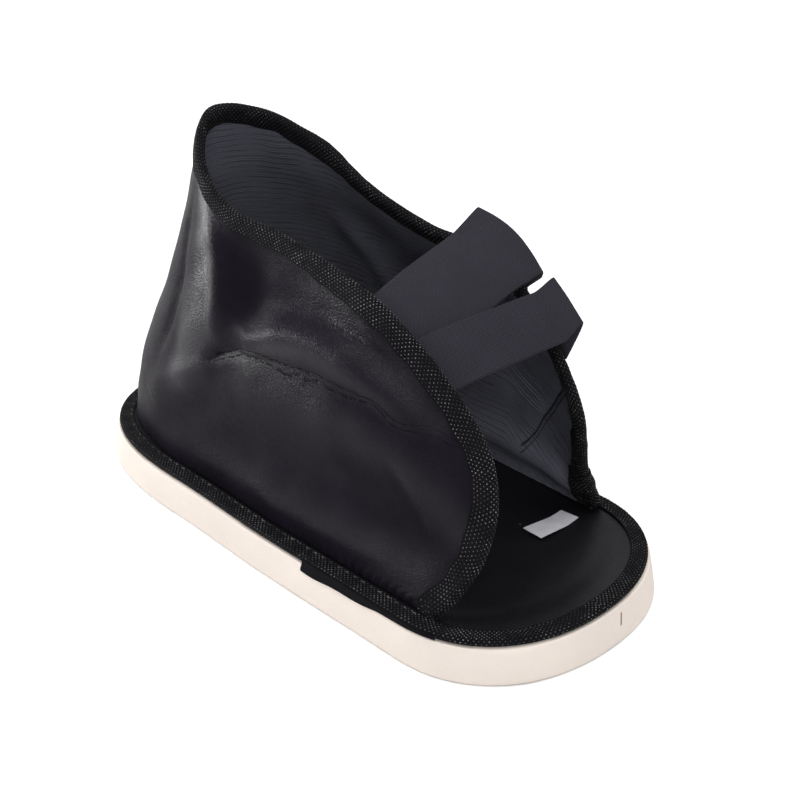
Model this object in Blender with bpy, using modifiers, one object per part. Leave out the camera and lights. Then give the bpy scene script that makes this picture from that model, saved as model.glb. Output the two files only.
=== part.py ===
"""Open-toe cast boot: a foam sole, a bound insole, a wrap upper with a bound edge, and two elastic straps.

The toe points along -Y, the heel along +Y and up is +Z. The origin lies on the floor under the
middle of the sole. The near side of the boot is -X and the far side is +X.
"""

import math

import bmesh
import bpy
from mathutils import Vector
from mathutils.bvhtree import BVHTree

# Outline of the insole with its tape, in metres
INSOLE_LENGTH = 0.300
HEEL_WIDTH = 0.1236
WAIST_WIDTH = 0.1274
BALL_WIDTH = 0.1268
HEEL_ROUND_LENGTH = 0.089
TOE_ROUND_LENGTH = 0.057
HEEL_SQUARENESS = 2.7
TOE_SQUARENESS = 2.2
WAIST_PLACE = 0.43

# Foam sole
SOLE_THICKNESS = 0.0166
SOLE_SPREAD = 0.0034

# Insole board and the tape around its rim
INSOLE_THICKNESS = 0.0014
TAPE_THICKNESS = 0.0007
RIM_TAPE_LAP = 0.0076

# Gap that pieces which meet keep between them, and the looser ones of a strap over the tape and of the
# wall's foot inside the rim's tape
CLEARANCE = 0.0003
STRAP_CLEARANCE = 0.0008
WALL_FOOT_GAP = 0.0015

# Upper
WALL_THICKNESS = 0.0024
BACK_HEIGHT = 0.1594
NEAR_FLAP_REACH = 0.2545
FAR_FLAP_REACH = 0.2490
THROAT_GAP = 0.059
EDGE_TAPE_WIDTH = 0.0095
WELT_HEIGHT = 0.003
WALL_ALLOWANCE = 0.006

# Elastic straps
STRAP_THICKNESS = 0.0014
REAR_STRAP_WIDTH = 0.040
FRONT_STRAP_WIDTH = 0.025
STRAP_ANCHOR_DEPTH = 0.022
STRAP_FOLD_REACH = 0.0125
STRAP_FOLD_RISE = 0.0085
STRAP_FOLD_RADIUS = 0.0012

# Bare label on the insole
LABEL_LENGTH = 0.0235
LABEL_WIDTH = 0.0095
LABEL_THICKNESS = 0.0004
LABEL_GAP = 0.0126
LABEL_SETBACK = 0.0038

# Fineness of the faceted surfaces
RIM_STATIONS = 80
SOLE_STATIONS = 96
STEPS_BETWEEN_SECTIONS = 4
WALL_ROWS = 11
BEND_STEPS = 3
FOLD_STEPS = 5
OUTLINE_POINTS = 241
STEPS_BETWEEN_KNOTS = 6

# Points closer together than this are one point
MERGE_DISTANCE = 1e-6

# Share of the edge, from the heel to a flap's corner, whose tape follows the sections of the wall
HEEL_PEAK_REACH = 0.25

# Edges bent more sharply than this show as creases
CREASE_ANGLE = math.radians(35)

# Side of the foam: height as a share of SOLE_THICKNESS, spread as a share of SOLE_SPREAD
SOLE_SIDE = (
    {"height": 0.00, "spread": 0.80},
    {"height": 0.07, "spread": 1.00},
    {"height": 0.50, "spread": 0.72},
    {"height": 0.93, "spread": 0.30},
    {"height": 1.00, "spread": 0.12},
)

# Sections of the upper from a flap's front corner towards the back of the heel.
# foot: where the section stands, as a share of the run along the insole from that corner to the heel.
# along: the bound edge's distance from the heel's end, as a share of INSOLE_LENGTH.
# gap: the bound edge's distance from the middle, as a share of half the THROAT_GAP.
# height: the bound edge's height above the insole, as a share of BACK_HEIGHT.
# low, mid, high: how far the wall swells past a straight line, as shares of half the BALL_WIDTH.
NEAR_SECTIONS = (
    {"foot": 0.022, "along": 0.848, "gap": 1.84, "height": 0.000, "low": 0.00, "mid": 0.00, "high": 0.00},
    {"foot": 0.040, "along": 0.876, "gap": 1.69, "height": 0.080, "low": 0.00, "mid": 0.00, "high": 0.00},
    {"foot": 0.070, "along": 0.898, "gap": 1.39, "height": 0.186, "low": 0.01, "mid": 0.02, "high": 0.01},
    {"foot": 0.100, "along": 0.900, "gap": 1.10, "height": 0.331, "low": 0.03, "mid": 0.05, "high": 0.03},
    {"foot": 0.135, "along": 0.877, "gap": 0.98, "height": 0.456, "low": 0.05, "mid": 0.09, "high": 0.06},
    {"foot": 0.180, "along": 0.810, "gap": 0.94, "height": 0.585, "low": 0.08, "mid": 0.14, "high": 0.11},
    {"foot": 0.255, "along": 0.693, "gap": 1.00, "height": 0.738, "low": 0.11, "mid": 0.19, "high": 0.15},
    {"foot": 0.360, "along": 0.573, "gap": 0.89, "height": 0.779, "low": 0.12, "mid": 0.21, "high": 0.17},
    {"foot": 0.495, "along": 0.450, "gap": 0.85, "height": 0.807, "low": 0.12, "mid": 0.20, "high": 0.16},
    {"foot": 0.650, "along": 0.340, "gap": 0.91, "height": 0.828, "low": 0.10, "mid": 0.14, "high": 0.09},
    {"foot": 0.830, "along": 0.243, "gap": 0.62, "height": 0.908, "low": 0.06, "mid": 0.03, "high": 0.01},
)
FAR_SECTIONS = (
    {"foot": 0.022, "along": 0.830, "gap": 1.84, "height": 0.000, "low": 0.00, "mid": 0.00, "high": 0.00},
    {"foot": 0.040, "along": 0.832, "gap": 1.68, "height": 0.086, "low": 0.00, "mid": 0.00, "high": 0.00},
    {"foot": 0.070, "along": 0.840, "gap": 1.40, "height": 0.180, "low": 0.01, "mid": 0.02, "high": 0.01},
    {"foot": 0.100, "along": 0.857, "gap": 1.15, "height": 0.299, "low": 0.03, "mid": 0.05, "high": 0.03},
    {"foot": 0.135, "along": 0.863, "gap": 1.00, "height": 0.418, "low": 0.05, "mid": 0.09, "high": 0.06},
    {"foot": 0.180, "along": 0.830, "gap": 0.94, "height": 0.560, "low": 0.08, "mid": 0.14, "high": 0.11},
    {"foot": 0.255, "along": 0.707, "gap": 1.00, "height": 0.770, "low": 0.11, "mid": 0.19, "high": 0.15},
    {"foot": 0.360, "along": 0.580, "gap": 0.89, "height": 0.795, "low": 0.12, "mid": 0.21, "high": 0.17},
    {"foot": 0.495, "along": 0.450, "gap": 0.85, "height": 0.855, "low": 0.12, "mid": 0.20, "high": 0.16},
    {"foot": 0.650, "along": 0.338, "gap": 0.90, "height": 0.925, "low": 0.10, "mid": 0.14, "high": 0.09},
    {"foot": 0.830, "along": 0.239, "gap": 0.62, "height": 0.986, "low": 0.06, "mid": 0.03, "high": 0.01},
)
HEEL_SECTION = {"foot": 1.000, "along": 0.196, "gap": 0.00, "height": 1.000, "low": 0.01, "mid": -0.05, "high": -0.05}

# Straps over the throat.
# near, far: where a strap's middle crosses each free edge, as a share of INSOLE_LENGTH from the heel's end.
# rear_rise, front_rise: how high its two edges fold above the far flap, as shares of STRAP_FOLD_RISE.
REAR_STRAP = {
    "name": "rear_strap", "width": REAR_STRAP_WIDTH,
    "near": 0.707, "far": 0.693, "rear_rise": 1.15, "front_rise": 0.30,
}
FRONT_STRAP = {
    "name": "front_strap", "width": FRONT_STRAP_WIDTH,
    "near": 0.797, "far": 0.808, "rear_rise": 1.00, "front_rise": 1.15,
}

# Colours as linear red, green and blue
FOAM_COLOUR = (0.78, 0.69, 0.60)
BLACK_LEATHER_COLOUR = (0.012, 0.011, 0.014)
TAPE_COLOUR = (0.010, 0.010, 0.012)
ELASTIC_COLOUR = (0.022, 0.021, 0.026)
LABEL_COLOUR = (0.80, 0.80, 0.82)

# Heights of the stack above the floor
RIM_TAPE_BASE = SOLE_THICKNESS + CLEARANCE
INSOLE_BASE = RIM_TAPE_BASE + TAPE_THICKNESS + CLEARANCE
INSOLE_TOP = INSOLE_BASE + INSOLE_THICKNESS
UPPER_BASE = INSOLE_TOP + CLEARANCE
EDGE_TAPE_BASE = UPPER_BASE + TAPE_THICKNESS + CLEARANCE

# Distance of each piece's middle line in from the insole's outline
INSOLE_INSET = TAPE_THICKNESS + CLEARANCE + INSOLE_THICKNESS / 2
WALL_INSET = RIM_TAPE_LAP + WALL_FOOT_GAP + WALL_THICKNESS / 2

# Distance from the middle of the wall to the middle and the outside of the tape on it, and to a strap's middle
TAPE_STANDOFF = WALL_THICKNESS / 2 + CLEARANCE + TAPE_THICKNESS / 2
TAPE_REACH = TAPE_STANDOFF + TAPE_THICKNESS / 2
STRAP_STANDOFF = TAPE_REACH + STRAP_CLEARANCE + STRAP_THICKNESS / 2


def start_empty_scene():
    """Remove every object, and give back a collection for the boot."""
    for thing in list(bpy.data.objects):
        bpy.data.objects.remove(thing, do_unlink=True)
    boot = bpy.data.collections.new("cast_boot")
    bpy.context.scene.collection.children.link(boot)
    return boot


def make_material(name, colour, roughness):
    """A plain non-metal surface."""
    material = bpy.data.materials.new(name)
    material.use_nodes = True
    shader = material.node_tree.nodes["Principled BSDF"]
    shader.inputs["Base Color"].default_value = (*colour, 1.0)
    shader.inputs["Roughness"].default_value = roughness
    shader.inputs["Metallic"].default_value = 0.0
    material.diffuse_color = (*colour, 1.0)
    return material


def add_object(name, mesh, material, collection):
    """Link a mesh to its collection as a smooth-shaded object."""
    thing = bpy.data.objects.new(name, mesh)
    collection.objects.link(thing)
    mesh.materials.append(material)
    mesh.shade_smooth()
    mesh.set_sharp_from_angle(angle=CREASE_ANGLE)
    return thing


def smooth_step(share):
    """Ease from 0 to 1."""
    return share * share * (3 - 2 * share)


def smooth_between(before, start, end, after, share):
    """A point on the centripetal curve from start to end, led by the points before and after."""
    first = max((start - before).length, MERGE_DISTANCE) ** 0.5
    middle = max((end - start).length, MERGE_DISTANCE) ** 0.5
    last = max((after - end).length, MERGE_DISTANCE) ** 0.5
    lead_in = (start - before) / first - (end - before) / (first + middle) + (end - start) / middle
    lead_out = (end - start) / middle - (after - start) / (middle + last) + (after - end) / last
    lead_in = lead_in * middle
    lead_out = lead_out * middle
    square = share * share
    cube = square * share
    return (
        start * (2 * cube - 3 * square + 1)
        + lead_in * (cube - 2 * square + share)
        + end * (3 * square - 2 * cube)
        + lead_out * (cube - square)
    )


def smooth_path(points, steps):
    """A smooth curve through the points, with the given steps between each two of them."""
    ends = [points[0] * 2 - points[1]] + list(points) + [points[-1] * 2 - points[-2]]
    path = []
    for index in range(1, len(points)):
        for step in range(steps):
            path.append(smooth_between(*ends[index - 1:index + 3], step / steps))
    path.append(points[-1].copy())
    return path


def spread_evenly(path, count):
    """Points at even distances along a path, its two ends included."""
    lengths = [0.0]
    for start, end in zip(path, path[1:]):
        lengths.append(lengths[-1] + (end - start).length)
    points = []
    index = 0
    for step in range(count):
        wanted = lengths[-1] * step / (count - 1)
        while index < len(path) - 2 and lengths[index + 1] < wanted:
            index += 1
        share = (wanted - lengths[index]) / (lengths[index + 1] - lengths[index])
        points.append(path[index].lerp(path[index + 1], min(share, 1.0)))
    return points


def insole_half_outline():
    """The far half of the insole's outline at even distances, from the heel's tip to the toe's tip."""
    end_steps = 60
    side_steps = 60
    heel_side = INSOLE_LENGTH / 2 - HEEL_ROUND_LENGTH
    toe_side = TOE_ROUND_LENGTH - INSOLE_LENGTH / 2
    points = []
    for step in range(end_steps):
        turn = math.pi / 2 * step / end_steps
        across = HEEL_WIDTH / 2 * math.sin(turn) ** (2 / HEEL_SQUARENESS)
        back = HEEL_ROUND_LENGTH * math.cos(turn) ** (2 / HEEL_SQUARENESS)
        points.append(Vector((across, heel_side + back, 0)))
    for step in range(side_steps):
        share = step / side_steps
        if share < WAIST_PLACE:
            width = HEEL_WIDTH + (WAIST_WIDTH - HEEL_WIDTH) * smooth_step(share / WAIST_PLACE)
        else:
            late = (share - WAIST_PLACE) / (1 - WAIST_PLACE)
            width = WAIST_WIDTH + (BALL_WIDTH - WAIST_WIDTH) * smooth_step(late)
        points.append(Vector((width / 2, heel_side + (toe_side - heel_side) * share, 0)))
    for step in range(end_steps + 1):
        turn = math.pi / 2 * step / end_steps
        across = BALL_WIDTH / 2 * max(math.cos(turn), 0.0) ** (2 / TOE_SQUARENESS)
        ahead = TOE_ROUND_LENGTH * math.sin(turn) ** (2 / TOE_SQUARENESS)
        points.append(Vector((across, toe_side - ahead, 0)))
    return spread_evenly(points, OUTLINE_POINTS)


HALF_OUTLINE = insole_half_outline()


def rim_place(share, inset):
    """A place on the insole's outline, moved in from it.

    The share is 0 at the heel's tip and 1 at the toe's tip, positive on the far side and negative
    on the near side.
    """
    last = len(HALF_OUTLINE) - 1
    place = min(abs(share), 1.0) * last
    index = min(int(place), last - 1)
    start = HALF_OUTLINE[index]
    end = HALF_OUTLINE[index + 1]
    point = start.lerp(end, place - index)
    before = HALF_OUTLINE[max(index - 1, 0)]
    after = HALF_OUTLINE[min(index + 2, last)]
    run = (after - before).normalized()
    if abs(share) in (0.0, 1.0):
        run = Vector((1, 0, 0)) if share == 0 else Vector((-1, 0, 0))
    outward = Vector((-run.y, run.x, 0))
    if share < 0:
        point.x = -point.x
        outward.x = -outward.x
    return point - outward * inset, outward


def rim_share_at(back_distance):
    """How far round the rim a point lies that is this far from the heel's end, as a share."""
    wanted = INSOLE_LENGTH / 2 - back_distance
    last = len(HALF_OUTLINE) - 1
    for index in range(last):
        start = HALF_OUTLINE[index]
        end = HALF_OUTLINE[index + 1]
        if end.y <= wanted:
            return (index + (start.y - wanted) / (start.y - end.y)) / last
    return 1.0


def rim_loop(inset, stations):
    """A closed loop of places round the rim."""
    shares = [2 * step / stations - 1 for step in range(stations)]
    return [rim_place(share, inset)[0] for share in shares]


def loft_rings(name, rings, closed_path):
    """A body through rings of equal count, joined end to end or capped at both ends."""
    shape = bmesh.new()
    loops = [[shape.verts.new(point) for point in ring] for ring in rings]
    pairs = list(zip(loops, loops[1:]))
    if closed_path:
        pairs.append((loops[-1], loops[0]))
    for lower, upper in pairs:
        count = len(lower)
        for index in range(count):
            after = (index + 1) % count
            shape.faces.new((lower[index], lower[after], upper[after], upper[index]))
    if not closed_path:
        shape.faces.new(list(reversed(loops[0])))
        shape.faces.new(loops[-1])
    bmesh.ops.recalc_face_normals(shape, faces=shape.faces)
    mesh = bpy.data.meshes.new(name)
    shape.to_mesh(mesh)
    shape.free()
    return mesh


def grid_mesh(name, columns):
    """An open sheet through columns of points. A column whose points all meet becomes one corner."""
    shape = bmesh.new()
    rows = [[shape.verts.new(point) for point in column] for column in columns]
    for left, right in zip(rows, rows[1:]):
        for index in range(len(left) - 1):
            shape.faces.new((left[index], left[index + 1], right[index + 1], right[index]))
    bmesh.ops.remove_doubles(shape, verts=shape.verts, dist=MERGE_DISTANCE)
    mesh = bpy.data.meshes.new(name)
    shape.to_mesh(mesh)
    shape.free()
    return mesh


def add_thickness(thing, thickness):
    """Give an open sheet its thickness, half to each side."""
    wall = thing.modifiers.new("thickness", "SOLIDIFY")
    wall.thickness = thickness
    wall.offset = 0.0
    wall.use_even_offset = True
    wall.use_quality_normals = True


def build_sole(collection):
    """Foam slab, a little wider at the floor than at its top."""
    rings = []
    for row in SOLE_SIDE:
        height = row["height"] * SOLE_THICKNESS
        ring = rim_loop(-row["spread"] * SOLE_SPREAD, SOLE_STATIONS)
        rings.append([Vector((point.x, point.y, height)) for point in ring])
    mesh = loft_rings("sole", rings, False)
    return add_object("sole", mesh, make_material("cream_foam", FOAM_COLOUR, 0.75), collection)


def build_insole(collection):
    """Board that carries the upper, cut from sheet."""
    outline = bpy.data.curves.new("insole", "CURVE")
    outline.dimensions = "2D"
    outline.fill_mode = "BOTH"
    outline.extrude = INSOLE_THICKNESS / 2
    loop = rim_loop(INSOLE_INSET, RIM_STATIONS)
    line = outline.splines.new("POLY")
    line.points.add(len(loop) - 1)
    for spot, point in zip(line.points, loop):
        spot.co = (point.x, point.y, 0, 1)
    line.use_cyclic_u = True
    thing = bpy.data.objects.new("insole", outline)
    thing.location.z = INSOLE_BASE + INSOLE_THICKNESS / 2
    outline.materials.append(make_material("black_insole", BLACK_LEATHER_COLOUR, 0.45))
    collection.objects.link(thing)
    return thing


def fold_section(lap, reach, half_gap):
    """A tape folded over an edge, as distances in from the edge and heights, inner end to inner end."""
    section = [(lap, half_gap)]
    for step in range(BEND_STEPS + 1):
        turn = math.pi / 2 - math.pi * step / BEND_STEPS
        section.append((reach - half_gap * math.cos(turn), half_gap * math.sin(turn)))
    section.append((lap, -half_gap))
    return section


def build_insole_binding(collection):
    """Tape folded round the insole's rim, over its top, edge and underside."""
    half_gap = INSOLE_THICKNESS / 2 + CLEARANCE + TAPE_THICKNESS / 2
    middle = INSOLE_BASE + INSOLE_THICKNESS / 2
    section = fold_section(RIM_TAPE_LAP, half_gap + TAPE_THICKNESS / 2, half_gap)
    columns = []
    for step in range(RIM_STATIONS):
        share = 2 * step / RIM_STATIONS - 1
        column = []
        for inset, height in section:
            place = rim_place(share, inset)[0]
            column.append(Vector((place.x, place.y, middle + height)))
        columns.append(column)
    columns.append([point.copy() for point in columns[0]])
    mesh = grid_mesh("insole_binding", columns)
    thing = add_object("insole_binding", mesh, make_material("rim_tape", TAPE_COLOUR, 0.8), collection)
    add_thickness(thing, TAPE_THICKNESS)
    return thing


def flap_corner(side):
    """The share round the rim where a flap's front corner stands, -1 for the near side."""
    reach = NEAR_FLAP_REACH if side < 0 else FAR_FLAP_REACH
    return side * rim_share_at(reach - TAPE_REACH)


def section_knots(row, side):
    """Points up one section of the wall, from below its foot to its free edge."""
    foot, outward = rim_place(flap_corner(side) * (1 - row["foot"]), WALL_INSET)
    edge = Vector((
        side * row["gap"] * THROAT_GAP / 2,
        INSOLE_LENGTH * (0.5 - row["along"]),
        INSOLE_TOP + row["height"] * BACK_HEIGHT,
    ))
    below = Vector((foot.x, foot.y, UPPER_BASE - WALL_ALLOWANCE))
    welt = Vector((foot.x, foot.y, UPPER_BASE + min(WELT_HEIGHT, row["height"] * BACK_HEIGHT / 4)))
    edge += (welt - edge).normalized() * TAPE_REACH
    knots = [below, welt]
    for name, share in (("low", 0.25), ("mid", 0.5), ("high", 0.75)):
        knots.append(welt.lerp(edge, share) + outward * row[name] * BALL_WIDTH / 2)
    knots.append(edge)
    return knots


def upper_knots():
    """Sections round the whole upper, from the near flap's corner to the far flap's corner."""
    near = [section_knots(row, -1) for row in NEAR_SECTIONS]
    heel = section_knots(HEEL_SECTION, 1)
    far = [section_knots(row, 1) for row in FAR_SECTIONS]
    corners = []
    for side in (-1, 1):
        point = rim_place(flap_corner(side), WALL_INSET)[0]
        point.z = UPPER_BASE - WALL_ALLOWANCE
        corners.append([point] * len(heel))
    return [corners[0]] + near + [heel] + far[::-1] + [corners[1]]


def cut_above(path, level):
    """The end of a path that lies above a level, from the place where it last rises through it."""
    for index in range(len(path) - 2, -1, -1):
        lower = path[index]
        upper = path[index + 1]
        if lower.z < level:
            return [lower.lerp(upper, (level - lower.z) / (upper.z - lower.z))] + path[index + 1:]
    return path


def upper_columns():
    """The middle surface of the upper's wall as columns of points, foot to free edge.

    Each column stands level on the insole, upright over the welt's height. The first and the last
    lie along the foot, under the flaps' front corners.
    """
    sections = upper_knots()
    bands = [
        smooth_path([section[knot] for section in sections], STEPS_BETWEEN_SECTIONS)
        for knot in range(len(sections[0]))
    ]
    columns = []
    for knots in zip(*bands):
        path = smooth_path(list(knots), STEPS_BETWEEN_KNOTS)
        if path[-1].z < UPPER_BASE + WELT_HEIGHT / 2:
            continue
        path = cut_above(path, UPPER_BASE)
        welt = path[0] + Vector((0, 0, min(WELT_HEIGHT, (path[-1].z - UPPER_BASE) / WALL_ROWS)))
        above = cut_above(path, welt.z)
        columns.append([path[0]] + spread_evenly([welt] + above[1:], WALL_ROWS))
    for end in (0, -1):
        level = [Vector((point.x, point.y, UPPER_BASE)) for point in columns[end]]
        columns.insert(0 if end == 0 else len(columns), level)
    return columns


class WallSurface:
    """The middle surface of the upper, to lay tape and straps along."""

    def __init__(self):
        columns = upper_columns()
        mesh = grid_mesh("wall_guide", columns)
        shape = bmesh.new()
        shape.from_mesh(mesh)
        bpy.data.meshes.remove(mesh)
        bmesh.ops.triangulate(shape, faces=shape.faces)
        shape.normal_update()
        self.tree = BVHTree.FromBMesh(shape)
        self.corners = [[vert.co.copy() for vert in face.verts] for face in shape.faces]
        self.normals = [[vert.normal.copy() for vert in face.verts] for face in shape.faces]
        shape.free()
        self.edge = [column[-1] for column in columns]
        self.falls = [column[-3] - column[-1] for column in columns]
        self.runs = [0.0]
        for start, end in zip(self.edge, self.edge[1:]):
            self.runs.append(self.runs[-1] + (end - start).length)

    def nearest(self, point):
        """The nearest point of the wall, and the way out of the boot there."""
        place, flat_normal, face = self.tree.find_nearest(point)[:3]
        weights = []
        corners = self.corners[face]
        for index in range(3):
            first = corners[(index + 1) % 3]
            second = corners[(index + 2) % 3]
            weights.append((first - place).cross(second - place).length)
        normal = Vector((0, 0, 0))
        for weight, corner_normal in zip(weights, self.normals[face]):
            normal += corner_normal * weight
        if normal.length == 0:
            normal = flat_normal
        return place, normal.normalized()

    def edge_frame(self, index):
        """A point of the free edge, the way out of the boot, and the way down the wall.

        The way down is square to the edge, but under the heel's peak it follows the wall's own
        sections, because lines square to the edge would cross there.
        """
        point = self.edge[index]
        before = self.edge[max(index - 1, 0)]
        after = self.edge[min(index + 1, len(self.edge) - 1)]
        outward = self.nearest(point)[1]
        down = outward.cross(after - before).normalized()
        middle = len(self.edge) // 2
        from_heel = abs(index - middle) / middle
        near_heel = smooth_step(max(1 - from_heel / HEEL_PEAK_REACH, 0.0))
        down = down.lerp(self.falls[index].normalized(), near_heel).normalized()
        return point, outward, down

    def edge_run(self, side, along):
        """How far along the free edge the throat reaches this distance from the heel's end."""
        wanted = INSOLE_LENGTH * (0.5 - along)
        index = len(self.edge) // 2
        while self.edge[index + side].y > wanted:
            index += side
        start = self.edge[index].y
        share = (start - wanted) / (start - self.edge[index + side].y)
        return self.runs[index] + (self.runs[index + side] - self.runs[index]) * share

    def edge_frame_at(self, run):
        """The free edge's frame at a distance along it."""
        index = 0
        while self.runs[index + 1] < run:
            index += 1
        share = (run - self.runs[index]) / (self.runs[index + 1] - self.runs[index])
        first = self.edge_frame(index)
        second = self.edge_frame(index + 1)
        return tuple(one.lerp(two, share) for one, two in zip(first, second))

    def offset(self, point, distance):
        """The point moved on to the wall, then out of it by a distance, or into the boot if negative."""
        place, outward = self.nearest(point)
        return place + outward * distance


def build_upper(collection):
    """One hollow wall, open at the top, the toe and underneath."""
    mesh = grid_mesh("upper", upper_columns())
    leather = make_material("black_leather", BLACK_LEATHER_COLOUR, 0.42)
    thing = add_object("upper", mesh, leather, collection)
    add_thickness(thing, WALL_THICKNESS)
    return thing


def build_edge_binding(collection, wall):
    """Tape folded over the upper's free edge, from one flap's front corner over the heel to the other's."""
    columns = []
    section = fold_section(EDGE_TAPE_WIDTH, 0.0, TAPE_STANDOFF)
    section.insert(1, (EDGE_TAPE_WIDTH / 2, TAPE_STANDOFF))
    section.insert(-1, (EDGE_TAPE_WIDTH / 2, -TAPE_STANDOFF))
    for index in range(len(wall.edge)):
        point, outward, down = wall.edge_frame(index)
        column = []
        for inset, standoff in section:
            if inset > 0:
                column.append(wall.offset(point + down * inset, standoff))
            else:
                column.append(point + down * inset + outward * standoff)
        if index in (0, len(wall.edge) - 1):
            for place in column:
                place.z = EDGE_TAPE_BASE
        elif min(place.z for place in column) < EDGE_TAPE_BASE + CLEARANCE:
            continue
        columns.append(column)
    mesh = grid_mesh("edge_binding", columns)
    thing = add_object("edge_binding", mesh, make_material("edge_tape", TAPE_COLOUR, 0.8), collection)
    add_thickness(thing, TAPE_THICKNESS)
    return thing


def strap_line(wall, near_run, far_run, rise):
    """One line along a strap: up inside the near flap, over the throat, and folded down the far flap."""
    depth_steps = 4
    line = []
    point, outward, down = wall.edge_frame_at(near_run)
    for step in range(depth_steps):
        depth = STRAP_ANCHOR_DEPTH * (1 - step / depth_steps)
        line.append(wall.offset(point + down * depth, -STRAP_STANDOFF))
    line.append(point - outward * STRAP_STANDOFF)
    point, outward, down = wall.edge_frame_at(far_run)
    along = outward.cross(down).normalized()
    above = Vector((0, 0, 1)) - along * along.z
    crest = point + above.normalized() * STRAP_STANDOFF
    fold = point + Vector((STRAP_FOLD_REACH, 0, rise))
    under = point + down * STRAP_STANDOFF + outward * STRAP_STANDOFF
    ahead = (fold - crest).normalized()
    aside = Vector((ahead.z, 0, -ahead.x)).normalized()
    line.append(point - down * STRAP_STANDOFF)
    line.append(crest)
    turn_back = ahead.angle(under - fold)
    for step in range(FOLD_STEPS + 1):
        turn = turn_back * step / FOLD_STEPS
        bend = ahead * math.sin(turn) + aside * (1 - math.cos(turn))
        line.append(fold + bend * STRAP_FOLD_RADIUS)
    line.append(under)
    for step in range(1, depth_steps + 1):
        depth = STRAP_STANDOFF + (STRAP_ANCHOR_DEPTH - STRAP_STANDOFF) * step / depth_steps
        line.append(wall.offset(point + down * depth, STRAP_STANDOFF))
    return line


def build_strap(strap, material, collection, wall):
    """Elastic webbing from inside the near flap, over the throat, and folded down the far flap."""
    lines_across = 4
    near_middle = wall.edge_run(-1, strap["near"])
    far_middle = wall.edge_run(1, strap["far"])
    columns = []
    for step in range(lines_across + 1):
        share = step / lines_across
        shift = (share - 0.5) * strap["width"]
        rise = STRAP_FOLD_RISE * (strap["rear_rise"] * (1 - share) + strap["front_rise"] * share)
        columns.append(strap_line(wall, near_middle - shift, far_middle + shift, rise))
    mesh = grid_mesh(strap["name"], columns)
    thing = add_object(strap["name"], mesh, material, collection)
    add_thickness(thing, STRAP_THICKNESS)
    return thing


def build_label(collection):
    """Bare strip lying on the insole at the far flap's front corner."""
    mesh = bpy.data.meshes.new("label")
    shape = bmesh.new()
    bmesh.ops.create_cube(shape, size=1.0)
    bmesh.ops.scale(shape, vec=(LABEL_LENGTH, LABEL_WIDTH, LABEL_THICKNESS), verts=shape.verts)
    shape.to_mesh(mesh)
    shape.free()
    corner = rim_place(flap_corner(1), WALL_INSET)[0]
    thing = add_object("label", mesh, make_material("white_label", LABEL_COLOUR, 0.6), collection)
    thing.location = (
        corner.x - LABEL_GAP - LABEL_LENGTH / 2,
        corner.y + LABEL_SETBACK,
        INSOLE_TOP + CLEARANCE + LABEL_THICKNESS / 2,
    )
    return thing


def main():
    """Make every piece of the boot."""
    boot = start_empty_scene()
    wall = WallSurface()
    elastic = make_material("black_elastic", ELASTIC_COLOUR, 0.7)
    build_sole(boot)
    build_insole(boot)
    build_insole_binding(boot)
    build_upper(boot)
    build_edge_binding(boot, wall)
    build_strap(REAR_STRAP, elastic, boot, wall)
    build_strap(FRONT_STRAP, elastic, boot, wall)
    build_label(boot)


main()
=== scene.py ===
"""Open-toe cast boot: foam sole, bound insole, lined wrap upper, edge tape, elastic straps and label.

The toe points along -Y, the heel along +Y and up is +Z. The near side of the boot is -X.
"""

import math

import bmesh
import bpy
import numpy as np
from bpy.props import FloatProperty, FloatVectorProperty, IntProperty, PointerProperty
from mathutils import Matrix, Vector
from mathutils.bvhtree import BVHTree


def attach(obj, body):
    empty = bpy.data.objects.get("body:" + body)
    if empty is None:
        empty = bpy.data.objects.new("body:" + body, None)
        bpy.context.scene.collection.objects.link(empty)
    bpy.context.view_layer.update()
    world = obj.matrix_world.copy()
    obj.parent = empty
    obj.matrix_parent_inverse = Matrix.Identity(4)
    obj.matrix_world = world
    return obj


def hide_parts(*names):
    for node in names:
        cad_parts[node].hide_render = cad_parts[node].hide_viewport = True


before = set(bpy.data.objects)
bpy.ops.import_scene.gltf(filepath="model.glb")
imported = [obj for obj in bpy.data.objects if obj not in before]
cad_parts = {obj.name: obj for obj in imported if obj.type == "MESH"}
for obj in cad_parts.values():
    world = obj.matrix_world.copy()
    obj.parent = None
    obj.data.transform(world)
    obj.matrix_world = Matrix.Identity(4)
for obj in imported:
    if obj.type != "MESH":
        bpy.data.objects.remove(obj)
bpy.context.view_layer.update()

bl_info = {
    "name": "Open-toe cast boot",
    "version": (1, 0, 0),
    "blender": (4, 5, 0),
    "location": "3D View > Sidebar > Cast Boot",
    "description": "Builds the cast boot's foam, fabric, tape, straps and stitches, and its studio",
    "category": "Object",
}

# Insole outline, in metres or as plain exponents and shares
HEEL_ROUND_LENGTH = 0.089
TOE_ROUND_LENGTH = 0.057
HEEL_SQUARENESS = 2.7
TOE_SQUARENESS = 2.2
WAIST_PLACE = 0.43

# Stack of the sole, in metres
SOLE_THICKNESS = 0.0166
SOLE_SPREAD = 0.0034
INSOLE_THICKNESS = 0.0014
CLEARANCE = 0.0003
RIM_TAPE_LAP = 0.0076
WALL_FOOT_GAP = 0.0015
NEAR_FLAP_REACH = 0.2545
FAR_FLAP_REACH = 0.2490
WELT_HEIGHT = 0.003
WALL_ALLOWANCE = 0.006

# Straps and label, in metres
STRAP_CLEARANCE = 0.0008
STRAP_ANCHOR_DEPTH = 0.022
STRAP_FOLD_REACH = 0.0125
STRAP_FOLD_RADIUS = 0.0012
SELVEDGE_RADIUS = 0.0005
LABEL_THICKNESS = 0.0003
LABEL_BOW = 0.0008
LABEL_CURL = 0.0012
LABEL_RIPPLE = 0.0004
LABEL_CORNERS = (((0.0181, -0.0865), (0.0179, -0.0975)), ((0.0415, -0.0880), (0.0425, -0.0975)))

TINY = 1e-6


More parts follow.
